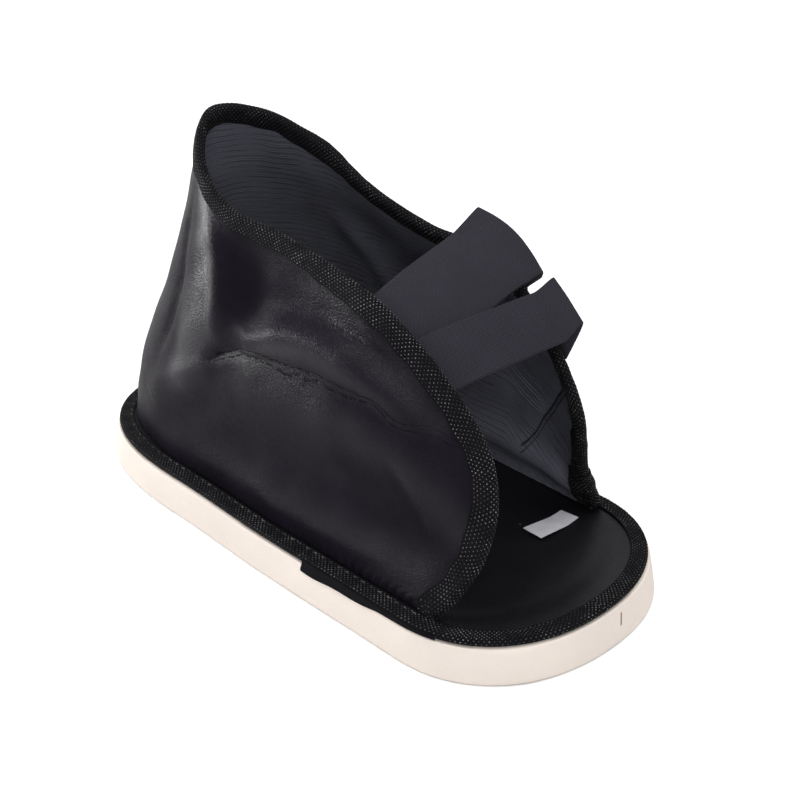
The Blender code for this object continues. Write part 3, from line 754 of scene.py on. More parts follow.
class Value:
    """A socket of a material that can be reckoned with."""

    def __init__(self, finish, socket):
        self.finish = finish
        self.socket = socket

    def reckon(self, operation, *values):
        """This value and others through one Math node."""
        sockets = dict(enumerate((self, *values)))
        return self.finish.node("ShaderNodeMath", {"operation": operation}, sockets)

    def __add__(self, other):
        return self.reckon("ADD", other)

    __radd__ = __add__

    def __mul__(self, other):
        return self.reckon("MULTIPLY", other)

    __rmul__ = __mul__

    def __sub__(self, other):
        return self.reckon("SUBTRACT", other)

    def __rsub__(self, other):
        return self.finish.node("ShaderNodeMath", {"operation": "SUBTRACT"}, {0: other, 1: self})

    def __abs__(self):
        return self.reckon("ABSOLUTE")

    def waves(self, pitch):
        """Even waves between 0 and 1, one for each pitch in metres."""
        return (self * (2 * math.pi / pitch)).reckon("SINE") * 0.5 + 0.5

    def fraction(self):
        return self.reckon("FRACT")

    def most(self, other):
        return self.reckon("MAXIMUM", other)

    def least(self, other):
        return self.reckon("MINIMUM", other)

    def ramp(self, low, high):
        """0 up to low, 1 from high, smooth between them."""
        smooth = {"interpolation_type": "SMOOTHSTEP"}
        return self.finish.node("ShaderNodeMapRange", smooth, {0: self, 1: low, 2: high, 3: 0.0, 4: 1.0})


class Finish:
    """A material in the making: a Principled surface and the nodes that feed it."""

    def __init__(self, name, roughness, **constants):
        self.material = bpy.data.materials.new(name)
        self.material.use_nodes = True
        self.tree = self.material.node_tree
        self.surface = self.tree.nodes["Principled BSDF"]
        for key, value in {"Roughness": roughness, **constants}.items():
            self.surface.inputs[key.replace("_", " ")].default_value = value

    def node(self, kind, settings=None, sockets=None, out=0):
        """Add a node, and give one of its outputs."""
        plain = {key: getattr(value, "socket", value) for key, value in (sockets or {}).items()}
        return Value(self, add_node(self.tree, kind, settings, plain)[out])

    def split(self, vector):
        """A vector, then each of its three numbers."""
        outputs = self.node("ShaderNodeSeparateXYZ", None, {0: vector}).socket.node.outputs
        return vector, *(Value(self, output) for output in outputs)

    def place(self):
        """Object coordinates: the vector, then its three numbers."""
        return self.split(self.node("ShaderNodeTexCoord", out="Object"))

    def flat(self):
        """The piece's own UV map in metres: along it and across it."""
        return self.split(self.node("ShaderNodeUVMap", {"uv_map": "UVMap"}, out="UV"))[1:3]

    def painted(self, name):
        """A number held by the piece's points."""
        return self.node("ShaderNodeAttribute", {"attribute_name": name}, out="Fac")

    def stretch(self, vector, scale):
        """A vector with each of its numbers scaled."""
        return self.node("ShaderNodeVectorMath", {"operation": "MULTIPLY"}, {0: vector, 1: scale})

    def noise(self, vector, size, detail=2.0, out=0):
        """Cloudy noise with humps of a size in metres."""
        sockets = {"Vector": vector, "Scale": 1 / size, "Detail": detail}
        return self.node("ShaderNodeTexNoise", None, sockets, out)

    def cells(self, vector, size, feature="F1"):
        """Cells of a size in metres: distance to their middles, or to their borders."""
        sockets = {"Vector": vector, "Scale": 1 / size}
        return self.node("ShaderNodeTexVoronoi", {"feature": feature}, sockets, "Distance")

    def blend(self, share, one, two):
        """Mix of two colours."""
        one, two = (colour if isinstance(colour, Value) else (*colour, 1.0) for colour in (one, two))
        return self.node("ShaderNodeMix", {"data_type": "RGBA"}, {0: share, 6: one, 7: two}, 2)

    def bump(self, height, distance, strength=1.0, below=None):
        """Relief of a depth in metres, over another relief if one is given."""
        sockets = {"Height": height, "Distance": distance, "Strength": strength}
        if below is not None:
            sockets["Normal"] = below
        return self.node("ShaderNodeBump", None, sockets)

    def polish(self, share, sockets):
        """Mix a second, glossier surface into the first."""
        glossy = self.node("ShaderNodeBsdfPrincipled", None, sockets)
        dull = Value(self, self.surface.outputs[0])
        mixed = self.node("ShaderNodeMixShader", None, {0: share, 1: dull, 2: glossy})
        self.tree.links.new(mixed.socket, self.tree.nodes["Material Output"].inputs["Surface"])

    def dress(self, **links):
        """Link what changes over the surface, and give back the material."""
        for key, value in links.items():
            self.tree.links.new(value.socket, self.surface.inputs[key.replace("_", " ")])
        return self.material


def times(colour, factor):
    """A colour made lighter or darker."""
    return tuple(min(channel * factor, 1.0) for channel in colour)


# Finishes


# The nick in the foam's toe: metres to the far side and above the floor, and how much it leans
NICK = {"side": 0.0088, "height": 0.0105, "lean": 0.25}
# A little dust on the smooth pieces
DUST = (0.35, 0.35, 0.36)


def foam_finish(colours):
    """Cream closed-cell foam with fine pores, faint clouding, a few specks, and a nick painted dark as the
    shade inside it.
    """
    finish = Finish("foam", 0.82, Specular_IOR_Level=0.3)
    place, x, y, z = finish.place()
    cloud = finish.noise(place, 0.045, 3.0)
    pores = finish.cells(place, 0.0011)
    dots = 1 - finish.cells(place, 0.014).ramp(0.012, 0.026)
    base = finish.blend(cloud.ramp(0.3, 0.75), colours.foam, times(colours.foam, 0.93))
    base = finish.blend(pores.ramp(0.1, 0.5) * 0.06, base, times(colours.foam, 0.6))
    base = finish.blend(dots * 0.55, base, (0.22, 0.13, 0.09))
    grit = (1 - finish.cells(place, 0.0062).ramp(0.035, 0.060)) * (1 - z.ramp(0.0015, 0.0040))
    base = finish.blend(grit * 0.7, base, (0.10, 0.07, 0.05))
    rise = z - NICK["height"]
    slant = abs(x - NICK["side"] - rise * NICK["lean"]).ramp(0.00030, 0.00060)
    nick = (1 - slant.most(abs(rise).ramp(0.0022, 0.0032))) * (1 - y.ramp(-0.150, -0.148))
    # Painted shade: the nick is coloured dark brown, standing in for the shade inside the cut
    base = finish.blend(nick * 0.9, base, (0.16, 0.085, 0.055))
    relief = finish.bump(pores, 0.00012, 0.5)
    relief = finish.bump(finish.noise(place, 0.004, 4.0) - nick * 2, 0.0003, 0.35, relief)
    return finish.dress(Base_Color=base, Normal=relief)


def grain(finish, place, size):
    """Relief of pebbled grain: cells with wavering borders."""
    waver = finish.stretch(finish.noise(place, size * 4, 1.0, "Color"), (size, size, size))
    moved = finish.node("ShaderNodeVectorMath", {"operation": "ADD"}, {0: place, 1: waver})
    return finish.cells(moved, size, "DISTANCE_TO_EDGE").ramp(0.02, 0.30)


# The fine crease under the near shoulder: metres ahead of the middle, and metres above the floor
CREASE_LINE = (
    (-0.040, 0.0880), (-0.024, 0.0965), (-0.010, 0.1010), (0.007, 0.1020), (0.026, 0.1040), (0.039, 0.1050),
    (0.050, 0.1040), (0.062, 0.1040), (0.074, 0.0980), (0.088, 0.0975), (0.102, 0.0940),
)
# The crease in the far flap's lining
LINING_LINE = (
    (0.056, 0.038), (0.060, 0.042), (0.072, 0.061), (0.084, 0.077), (0.096, 0.091), (0.100, 0.096),
)
# Heights are enlarged this much on the curve nodes, to fill their range from 0 to 1
CURVE_SCALE = 5


def line_height(finish, y, line):
    """Height above the floor of a line on the wall, from how far ahead a place lies."""
    low, high = line[0][0], line[-1][0]
    places = [((ahead - low) / (high - low), height * CURVE_SCALE) for ahead, height in line]
    share = (0 - y - low) * (1 / (high - low))
    curve = finish.node("ShaderNodeFloatCurve", {"curve": places}, {"Factor": 1.0, "Value": share})
    held = share.ramp(-0.01, 0.04) * (1 - share.ramp(0.96, 1.01))
    return curve * (1 / CURVE_SCALE), held


def leather_finish(colours):
    """Black coated fabric: fine grain, gloss where it is rubbed, and the crease under the shoulder, painted
    darker as shade.
    """
    finish = Finish("coated_fabric", 0.45, Specular_IOR_Level=0.035)
    place, x, y, z = finish.place()
    pebble = grain(finish, finish.stretch(place, (1.0, 1.35, 0.8)), 0.0012)
    cloud = finish.noise(place, 0.030, 3.0)
    patch = finish.noise(place, 0.055, 2.0).ramp(0.42, 0.62)
    coarse = finish.painted("grain")
    base = finish.blend(cloud.ramp(0.35, 0.7), colours.leather, times(colours.leather, 1.5))
    height, held = line_height(finish, y, CREASE_LINE)
    jitter = (finish.noise(place, 0.007, 3.0) - 0.5) * 0.0022
    away = z - height + jitter
    near = 1 - x.ramp(-0.024, -0.018)
    fray = finish.noise(place, 0.0035, 2.0).ramp(0.38, 0.52)
    first = (1 - abs(away).ramp(0.0, 0.0005)) * (0.35 + fray * 0.65)
    second = 1 - abs(away + 0.0024 + jitter * 0.8).ramp(0.0, 0.0005)
    crease_and_its_shade = first.most(second * fray) * held * near
    # Painted shade: the crease is coloured darker along its line, as well as dented by the relief below
    base = finish.blend(crease_and_its_shade * 0.7, base, times(colours.leather, 0.25))
    gloss = (finish.painted("shine") * (0.7 + cloud * 0.6) + coarse * 0.10).least(1.0)
    rough = 0.40 + cloud * 0.10 + pebble * 0.04
    relief = finish.bump(pebble, 0.00008, 1.0)
    wrinkle = finish.noise(finish.stretch(place, (1.0, 0.55, 1.5)), 0.0026, 3.0)
    rumple = grain(finish, finish.stretch(place, (1.0, 0.7, 1.25)), 0.0014)
    relief = finish.bump(wrinkle * (0.15 + patch * 0.4 + coarse), 0.00030, 0.8, relief)
    relief = finish.bump(rumple * coarse, 0.00016, 0.9, relief)
    relief = finish.bump(0 - crease_and_its_shade, 0.0005, 0.8, relief)
    rubbed = {"Base Color": base, "Normal": relief, "Roughness": 0.34, "Specular IOR Level": 0.5}
    finish.polish(gloss, rubbed)
    return finish.dress(Base_Color=base, Roughness=rough, Normal=relief)


def lining_finish(colours):
    """Grey lining: fine level ribs, wavy darker lines between them, one crease at the far front painted
    dark as shade, and painted light towards the front.
    """
    finish = Finish("ribbed_lining", 0.75, Specular_IOR_Level=0.2)
    place, x, y, z = finish.place()
    wave = finish.noise(finish.stretch(place, (1.0, 1.0, 0.3)), 0.018, 2.0)
    ahead = (0 - y - 0.045).most(0.0)
    level = z + ahead * 0.42 + wave * 0.0040
    rib = level.waves(0.00105)
    fade = finish.noise(place, 0.016, 2.0).ramp(0.36, 0.58)
    thread = finish.noise(finish.stretch(place, (1.0, 0.12, 1.0)), 0.0009, 2.0)
    front = (1 - y.ramp(-0.060, -0.040)) * x.ramp(0.0, 0.010)
    uneven = finish.noise(finish.stretch(place, (0.3, 0.3, 1.0)), 0.0045, 2.0)
    row = (level * (1 / 0.0031) + uneven * 0.5).fraction()
    line = 1 - abs(row - 0.5).ramp(0.03, 0.11)
    close = (level * (1 / 0.0021) + uneven * 0.4).fraction()
    close_line = 1 - abs(close - 0.5).ramp(0.04, 0.16)
    close_line = close_line * front * z.ramp(0.036, 0.050) * (0.45 + fade * 0.55)
    stripe = (line * (fade * 0.45 + 0.10)).most(close_line)
    height, held = line_height(finish, y, LINING_LINE)
    first = 1 - abs(z - height + (wave - 0.5) * 0.003).ramp(0.0004, 0.0013)
    second = 1 - abs(z - height + 0.0042 + (wave - 0.5) * 0.002).ramp(0.0002, 0.0008)
    crease = first.most(second * 0.8) * held * x.ramp(0.020, 0.026)
    dark = stripe.most(crease)
    base = finish.blend(rib * 0.45 + thread * 0.4, times(colours.lining, 0.75), times(colours.lining, 1.25))
    # Painted light: the lining is made up to 1.8 times lighter towards the front of the boot
    base = finish.blend((0 - y).ramp(0.02, 0.07) * 0.55, base, times(colours.lining, 1.8))
    # The wavy lines are the lining's own pattern; the crease mixed in with them is painted shade in the
    # fold
    base = finish.blend(dark * 0.9, base, times(colours.lining, 0.10))
    relief = finish.bump(thread, 0.00012, 0.7)
    relief = finish.bump(rib, 0.00016, 0.9, relief)
    relief = finish.bump(0 - dark, 0.0006, 0.8, relief)
    return finish.dress(Base_Color=base, Normal=relief)


def basket(one, other, pitch):
    """A plain weave between 0 and 1."""
    return (one.waves(pitch) - 0.5) * (other.waves(pitch) - 0.5) * 2 + 0.5


def tape_finish(colours):
    """Black woven tape: a fine basket weave in its own UV map."""
    finish = Finish("woven_tape", 0.80, Specular_IOR_Level=0.06)
    along, across = finish.flat()
    weave = basket(along, across, 0.0009)
    worn = finish.noise(finish.place()[0], 0.012, 3.0).ramp(0.35, 0.7)
    base = finish.blend(weave * 0.6 + worn * 0.3, times(colours.tape, 0.5), times(colours.tape, 1.8))
    relief = finish.bump(weave, 0.00018, 0.9)
    return finish.dress(Base_Color=base, Normal=relief)


def thread_finish(colours):
    """Light thread, brighter and duller from knot to knot, with painted shade dimming it towards the heel
    and the far side.
    """
    finish = Finish("light_thread", 0.6, Specular_IOR_Level=0.4)
    place, x, y, _ = finish.place()
    bright = finish.noise(place, 0.009, 3.0).ramp(0.38, 0.60)
    # Painted shade: the threads are dimmed towards the heel and towards the far side
    kept = (1 - y.ramp(0.00, 0.06) * 0.45) * (1 - x.ramp(0.005, 0.03) * 0.45)
    fine = finish.noise(place, 0.0016, 2.0).ramp(0.3, 0.7)
    base = finish.blend(bright * (0.25 + fine * 0.75) * kept, times(colours.tape, 1.6), colours.thread)
    return finish.dress(Base_Color=base)


def elastic_finish(colours):
    """Dark grey elastic: fine ribs along the strap and a slanting twill over them."""
    finish = Finish("elastic_webbing", 0.78, Specular_IOR_Level=0.16)
    along, across = finish.flat()
    cloth = across.waves(0.00105) * 0.55 + (along + across * 0.9).waves(0.0013) * 0.45
    place = finish.place()[0]
    shade = cloth * 0.7 + finish.noise(place, 0.016, 3.0) * 0.3
    dust = (1 - finish.cells(place, 0.011).ramp(0.018, 0.030)) * 0.5
    base = finish.blend(shade, times(colours.elastic, 0.50), times(colours.elastic, 1.50))
    base = finish.blend(dust, base, DUST)
    relief = finish.bump(cloth, 0.00020, 0.9)
    return finish.dress(Base_Color=base, Normal=relief)


def insole_finish(colours):
    """Smooth black insole cover with a soft gloss, a faint slanting texture and a little dust."""
    finish = Finish("insole_cover", 0.36, Specular_IOR_Level=0.2)
    place, x, y, _ = finish.place()
    cloud = finish.noise(place, 0.050, 3.0)
    slant = (x + y * 0.6).waves(0.0016)
    dust = 1 - finish.cells(place, 0.017).ramp(0.012, 0.022)
    scuff = finish.noise(finish.stretch(place, (0.4, 1.0, 1.0)), 0.004, 4.0).ramp(0.62, 0.74)
    base = finish.blend(cloud.ramp(0.3, 0.75), colours.insole, times(colours.insole, 1.6))
    base = finish.blend(dust * 0.6, base, DUST)
    rough = 0.30 + cloud * 0.16 + scuff * 0.06
    pebble = grain(finish, place, 0.0013)
    relief = finish.bump(pebble, 0.00005, 0.8)
    relief = finish.bump(slant, 0.00002, 0.5, relief)
    relief = finish.bump(cloud, 0.0008, 0.4, relief)
    return finish.dress(Base_Color=base, Roughness=rough, Normal=relief)


def label_finish(colours):
    """White woven strip, left bare."""
    finish = Finish("label_cloth", 0.7, Specular_IOR_Level=0.3)
    place, x, y, _ = finish.place()
    weave = basket(x, y, 0.0006)
    cloud = finish.noise(place, 0.006, 2.0)
    base = finish.blend(cloud.ramp(0.3, 0.8), colours.label, times(colours.label, 0.85))
    return finish.dress(Base_Color=base, Normal=finish.bump(weave, 0.00008, 0.7))


def floor_finish(studio):
    """Plain pale floor."""
    finish = Finish("studio_floor", 0.9, Specular_IOR_Level=0.1)
    place = finish.place()[0]
    cloud = finish.noise(place, 0.6, 2.0)
    return finish.dress(Base_Color=finish.blend(cloud, studio.floor, times(studio.floor, 0.995)))


def shared(name, maker, source):
    """A material by name, made the first time that it is asked for."""
    return bpy.data.materials.get(name) or maker(source)


# Pieces


def foam_spread(height):
    """How far the foam stands out from the insole's outline at a height above the floor."""
    heights = [row["height"] * SOLE_THICKNESS for row in SOLE_SIDE]
    return np.interp(height, heights, [row["spread"] * SOLE_SPREAD for row in SOLE_SIDE])


def make_sole(sizes, colours):
    """Foam slab with softened edges and slightly uneven cut sides."""
    shares = np.linspace(-1, 1, 421)[:-1]
    flat, outward = rim_places(sizes, shares)
    rows = np.concatenate([[0.0, 0.012, 0.03], np.linspace(0.06, 0.94, 15), [0.97, 0.985, 1.0]])
    heights = rows * SOLE_THICKNESS
    side = np.stack([
        np.column_stack([flat + outward * spread, np.full(len(flat), height)])
        for height, spread in zip(heights, foam_spread(heights))
    ], 1)
    wobble = uneven(side.reshape(-1, 3), "foam side").reshape(side.shape[:2])
    side[:, :, :2] += outward[:, None] * (wobble * ease(np.minimum(rows, 1 - rows) / 0.1))[:, :, None]
    lids = []
    for level, ring in ((0, side[:, 0]), (1, side[:, -1])):
        middle = np.array([0, 0, level * SOLE_THICKNESS])
        lids.append([ring + (middle - ring) * share for share in (0.04, 0.15, 0.4, 0.7, 0.97)])
    rings = lids[0][::-1] + [side[:, index] for index in range(side.shape[1])] + lids[1]
    n, m = len(rings), len(shares)
    points = np.concatenate(rings)
    index = np.arange(n * m).reshape(n, m)
    after = np.roll(index, -1, axis=1)
    faces = np.stack([index[:-1], after[:-1], after[1:], index[1:]], 2).reshape(-1, 4).tolist()
    faces.append(index[0][::-1].tolist())
    faces.append(index[-1].tolist())
    mesh = bpy.data.meshes.new("foam_sole")
    mesh.from_pydata(points.tolist(), [], faces)
    foam = shared("foam", foam_finish, colours)
    add_piece("foam_sole", settle(mesh), [foam], "cream_foam", "sole")


# The groove in the insole cover beside its tape: metres deep, in from the rim, and to each side
GROOVE_DEPTH = 0.00035
GROOVE_PLACE = 0.0082
GROOVE_WIDTH = 0.0016


def make_insole(sizes, colours):
    """Insole cover: nearly flat, with a shallow groove beside its tape and a few soft humps."""
    levels = Levels(sizes)
    shares = np.linspace(-1, 1, 241)[:-1]
    inset = sizes.tape + CLEARANCE + INSOLE_THICKNESS / 2
    rim = rim_places(sizes, shares, inset)[0]
    rings = np.linspace(1.0, 0.0, 46) ** 0.9
    top = np.stack([np.column_stack([rim * share, np.zeros(len(rim))]) for share in rings], 1)
    flat = top.reshape(-1, 3)
    depth = (1 - rings) * sizes.ball_width / 2
    rise = uneven(flat, "insole").reshape(top.shape[:2])
    rise -= GROOVE_DEPTH * np.exp(-((depth - GROOVE_PLACE) / GROOVE_WIDTH) ** 2)
    rise *= ease(depth / 0.006)
    top[:, :, 2] = levels.insole_top + rise
    base = top.copy()
    base[:, :, 2] = levels.insole_base
    mesh = settle(lattice_body("insole_cover", top, base, closed=True))
    cover = shared("insole_cover", insole_finish, colours)
    add_piece("insole_cover", mesh, [cover], "black_insole", "insole")


# Puckers of the rim tape: two pitches that beat against each other, and their depth, in metres
PUCKER_PITCHES = (0.0061, 0.0103)
PUCKER_DEPTH = 0.00006


def make_rim_tape(sizes, colours):
    """Tape folded round the insole's rim, a little puckered, and its lapped end on the near side."""
    levels = Levels(sizes)
    shares = np.linspace(-1, 1, 561)[:-1]
    edge, outward = rim_places(sizes, shares)
    half = INSOLE_THICKNESS / 2 + CLEARANCE + sizes.tape / 2
    middle = levels.insole_base + INSOLE_THICKNESS / 2

    def leaf(gap):
        turn = np.linspace(math.pi / 2, -math.pi / 2, 9)
        reach = half + sizes.tape / 2
        lap = np.linspace(RIM_TAPE_LAP, reach, 9)[:-1]
        inset = np.concatenate([lap, reach - gap * np.cos(turn), lap[::-1]])
        height = np.concatenate([np.full(8, gap), gap * np.sin(turn), np.full(8, -gap)])
        return inset, height

    grids = []
    runs = lengths_along(edge)
    first, second = (runs * 2 * math.pi / pitch for pitch in PUCKER_PITCHES)
    pucker = (np.sin(first) + np.sin(second + 1)) * PUCKER_DEPTH
    for gap in (half + sizes.tape / 2, half - sizes.tape / 2):
        inset, height = leaf(gap)
        flat = edge[:, None] - outward[:, None] * inset[None, :, None]
        grid = np.concatenate([flat, np.repeat((middle + height)[None, :, None], len(edge), 0)], 2)
        upper = np.clip(height / gap, 0, 1)
        grid[:, :, 2] += pucker[:, None] * upper[None, :]
        grids.append(grid)
    across = lengths_along(np.column_stack(leaf(half)))
    mesh = settle(lattice_body("rim_tape", grids[0], grids[1], across=across, closed=True))
    tape = shared("woven_tape", tape_finish, colours)
    add_piece("rim_tape", mesh, [tape], "rim_tape", "insole_binding")
    make_rim_lap(sizes, levels, tape)
    return grids[0], across


# Where the rim tape's free end starts and dies out, in metres from the heel's end, and how far it hangs
RIM_LAP_SPAN = (0.1815, 0.262)
RIM_LAP_DROP = 0.0034


def make_rim_lap(sizes, levels, tape):
    """The rim tape's free end: a strip that hangs a little over the foam, cut off square at its back."""
    start, end = (rim_share_at(sizes, distance) for distance in RIM_LAP_SPAN)
    share = np.linspace(0, 1, 90)
    edge, outward = rim_places(sizes, -np.linspace(start, end, 90))
    drop = RIM_LAP_DROP * (1 - ease(share)) * (1 + 0.12 * np.sin(share * 17)) - 0.0008
    rows = np.linspace(0, 1, 8)
    grids = []
    for lift in (sizes.tape * 0.8, 0.00008):
        top = levels.rim_top - 0.0012
        height = top + (levels.rim_base - drop[:, None] - top) * rows[None]
        out = np.maximum(foam_spread(height) + 0.00015, 0.0) * ease(rows[None] * 1.6) + lift
        flat = edge[:, None] + outward[:, None] * out[:, :, None]
        grids.append(np.concatenate([flat, height[:, :, None]], 2))
    mesh = settle(lattice_body("rim_tape_end", grids[0], grids[1]))
    add_piece("rim_tape_end", mesh, [tape], "rim_tape")


def make_upper(sizes, colours, wall):
    """The wrap: coated fabric outside, ribbed lining inside."""
    outer = wall.grid + wall.normals * sizes.wall / 2
    inner = wall.grid - wall.normals * sizes.wall / 2
    for grid in (outer, inner):
        grid[:, 0, 2] = Levels(sizes).upper_base
    mesh = settle(lattice_body("wrap_upper", outer, inner))
    places = np.empty(len(mesh.vertices) * 3)
    mesh.vertices.foreach_get("co", places)
    for key, lines in (("shine", SHINE), ("grain", GRAIN)):
        amount = field_of(places.reshape(-1, 3), lines, "amount", np.maximum)
        layer = mesh.attributes.new(key, "FLOAT", "POINT")
        layer.data.foreach_set("value", amount.astype(np.float32))
    outside = shared("coated_fabric", leather_finish, colours)
    inside = shared("ribbed_lining", lining_finish, colours)
    add_piece("wrap_upper", mesh, [outside, inside], "black_leather", "upper")


# Width that shows of the edge tape, as a share of its full width, from the near corner to the far one
TAPE_NARROWING = rows_of(
    "run share",
    (0.00, 0.98), (0.10, 0.90), (0.20, 0.76), (0.32, 0.68), (0.38, 0.60), (0.44, 0.52), (0.49, 0.60),
    (0.56, 0.80), (0.66, 0.74), (1.00, 0.66),
)
# The fuller stretch over the heel: where along the tape, how far to each side, and metres thicker
LUMP_PLACE = 0.56
LUMP_REACH = 0.12
LUMP_FULLNESS = 0.00027
# How much the outside leaf waves, as a part of the tape's crinkles
LEAF_WAVE = 8 / 7
# The doubled end at the far corner, as shares of the tape's run, and its lift in metres
LAPPED = (0.955, 0.9985)
LAPPED_LIFT = 0.0009


def tape_column(wall, index, standoff, leaf, swell, wave):
    """Points across the folded tape: down the outside from its border, over the edge, and down inside."""
    point, outward, down = wall.edge_frame(index)
    puff = standoff + max(swell, 0.0)
    column = [wall.offset(point + down * inset, puff + bend) for inset, bend in zip(leaf, wave)]
    for turn in np.linspace(math.pi / 2, -math.pi / 2, 9):
        column.append(point + outward * puff * math.sin(turn) - down * puff * math.cos(turn))
    column += [wall.offset(point + down * inset, -puff) for inset in leaf[::-1]]
    return np.array(column)


def fold_tape(sizes, wall, start, end, lift, name):
    """A closed strip of tape folded over the free edge, from one share of its run to another."""
    levels = Levels(sizes)
    base = levels.rim_top + CLEARANCE
    runs = wall.runs[:, None] * np.ones((1, 3))
    crinkle = uneven(runs * (1, 0, 0), "tape crinkle")
    waver = uneven(runs * (0, 1, 0), "tape width")
    lump = uneven(runs * (0, 0, 1), "tape lump")
    places = wall.runs / wall.runs[-1]
    table = [[row[key] for row in TAPE_NARROWING] for key in ("run", "share")]
    widths = sizes.tape_width * np.interp(places, *table) + waver + lift * 0.8
    heel = ease(1 - abs(places - LUMP_PLACE) / LUMP_REACH)
    swells = crinkle + heel * (LUMP_FULLNESS + lump) + lift
    outer, inner, kept = [], [], []
    for index in np.nonzero((places >= start - TINY) & (places <= end + TINY))[0]:
        leaf = np.linspace(widths[index], 0, 9)[:-1]
        wave = np.maximum(LEAF_WAVE * crinkle[index] * np.sin(leaf / widths[index] * math.pi), 0)
        columns = []
        for step in (sizes.tape / 2, -sizes.tape / 2):
            standoff = levels.tape_standoff + step
            columns.append(tape_column(wall, index, standoff, leaf, swells[index], wave))
        if index in (0, wall.shape[0] - 1):
            for column in columns:
                column[:, 2] = base
        elif min(column[:, 2].min() for column in columns) < base + CLEARANCE:
            continue
        outer.append(columns[0])
        inner.append(columns[1])
        kept.append(wall.runs[index])
    outer, inner = np.array(outer), np.array(inner)
    for grid in (outer, inner):
        grid[2:-2] = grid[2:-2] * 0.5 + (grid[1:-3] + grid[3:-1]) * 0.25
    across = lengths_along(outer[len(outer) // 3])
    return settle(lattice_body(name, outer, inner, np.array(kept), across)), outer, across


def make_edge_tape(sizes, colours, wall):
    """Tape over the free edge from corner to corner, and its doubled end at the far corner."""
    tape = shared("woven_tape", tape_finish, colours)
    strips = []
    for name, span, nodes in (
        ("edge_tape", (0.0, 1.0, 0.0), ["edge_binding"]),
        ("edge_tape_end", (*LAPPED, LAPPED_LIFT), []),
    ):
        mesh, *strip = fold_tape(sizes, wall, *span, name)
        add_piece(name, mesh, [tape], "edge_tape", *nodes)
        strips.append(strip)
    return strips


def strap_line(levels, wall, near_run, far_run, rise, sink, lift):
    """One line along a strap: up inside the near flap, over the throat, and folded down the far flap."""
    standoff = levels.strap_standoff
    point, outward, down = wall.edge_frame_at(near_run)
    inside = standoff + sink
    line = []
    for share in (1.0, 0.75, 0.5, 0.25):
        line.append(wall.offset(point + down * STRAP_ANCHOR_DEPTH * share, -inside))
    line.append(point - outward * inside)
    point, outward, down = wall.edge_frame_at(far_run)
    along = np.cross(outward, down)
    along /= np.linalg.norm(along)
    above = np.array([0, 0, 1.0]) - along * along[2]
    crest = point + above / np.linalg.norm(above) * standoff + (0, 0, lift)
    fold = point + (STRAP_FOLD_REACH, 0, rise)
    under = point + down * standoff + outward * standoff
    ahead = (fold - crest) / np.linalg.norm(fold - crest)
    aside = np.array([ahead[2], 0, -ahead[0]])
    aside /= np.linalg.norm(aside)
    line += [point - down * standoff + (0, 0, lift), crest]
    back = (under - fold) / np.linalg.norm(under - fold)
    turn_back = math.acos(float(np.clip(ahead @ back, -1, 1)))
    for turn in np.linspace(0, turn_back, 7):
        line.append(fold + (ahead * math.sin(turn) + aside * (1 - math.cos(turn))) * STRAP_FOLD_RADIUS)
    line.append(under)
    for share in (0.25, 0.5, 0.75, 1.0):
        depth = standoff + (STRAP_ANCHOR_DEPTH - standoff) * share
        line.append(wall.offset(point + down * depth, standoff))
    return np.array(line)


def make_strap(name, strap, sizes, colours, wall, node):
    """Elastic webbing with rounded selvedges."""
    levels = Levels(sizes)
    near = wall.edge_run(-1, strap["near"], sizes)
    far = wall.edge_run(1, strap["far"], sizes)
    shares = np.concatenate([[0.0, 0.006, 0.018], np.linspace(0.05, 0.95, 19), [0.982, 0.994, 1.0]])
    lines = []
    for share in shares:
        shift = (share - 0.5) * strap["width"]
        rise = strap["rear_rise"] * (1 - share) + strap["front_rise"] * share
        sink = strap["sink"] * float(ease((share - 0.5) / 0.4))
        lift = strap["rear_lift"] * (1 - share) + strap["front_lift"] * share
        lines.append(strap_line(levels, wall, near - shift, far + shift, rise, sink, lift))
    grid = smooth_rows(np.array(lines).transpose(1, 0, 2), 5)
    grid[:, :, 2] += uneven(grid.reshape(-1, 3), "strap").reshape(grid.shape[:2])
    normal = grid_normals(grid)
    full = np.clip(np.minimum(shares, 1 - shares) * strap["width"] / SELVEDGE_RADIUS, 0, 1)
    half = sizes.strap / 2 * np.sqrt(np.clip(1 - (1 - full) ** 2, 0.04, 1))
    swell = normal * half[None, :, None]
    body = lattice_body(name, grid - swell, grid + swell, across=shares * strap["width"])
    elastic = shared("elastic_webbing", elastic_finish, colours)
    add_piece(name, settle(body, math.radians(70)), [elastic], "black_elastic", node)


def make_label(sizes, colours):
    """Bare strip on the insole, one end under the far flap, the other lifted a little."""
    base = Levels(sizes).insole_top + 0.0004
    corners = np.array(LABEL_CORNERS)
    share = np.linspace(0, 1, 25)[:, None, None]
    width = np.linspace(0, 1, 9)[None, :, None]
    flat = (corners[0, 0] * (1 - width) + corners[0, 1] * width) * (1 - share)
    flat = flat + (corners[1, 0] * (1 - width) + corners[1, 1] * width) * share
    along = share[:, :, 0]
    flat[:, :, 1] -= np.sin(along * math.pi) * LABEL_BOW
    lift = LABEL_CURL * (1 - along) ** 2 + LABEL_RIPPLE * np.sin(along * 5)
    height = base + np.repeat(np.maximum(lift, 0.0), 9, 1)
    grid = np.concatenate([flat, height[:, :, None]], 2)
    mesh = settle(lattice_body("bare_label", grid + (0, 0, LABEL_THICKNESS), grid))
    cloth = shared("label_cloth", label_finish, colours)
    add_piece("bare_label", mesh, [cloth], "white_label", "label")


# Threads, by Geometry Nodes


# Thread ends in metres, and how much smaller than that the smallest is, as a share
KNOT = {"Length": 0.00078, "Width": 0.00070, "Height": 0.00042, "Unevenness": 0.45}
STITCH = {"Length": 0.0026, "Width": 0.0007, "Height": 0.0006, "Unevenness": 0.25}
# Bare border beside the tapes' threads, and how far across the rim tape they reach, in metres
KNOT_MARGIN = 0.0004
RIM_KNOTS_END = 0.0104
# The foot seam stops this far behind a flap's corner, and lies this far in from the tape's border
SEAM_END = 0.004
SEAM_MARGIN = 0.0016


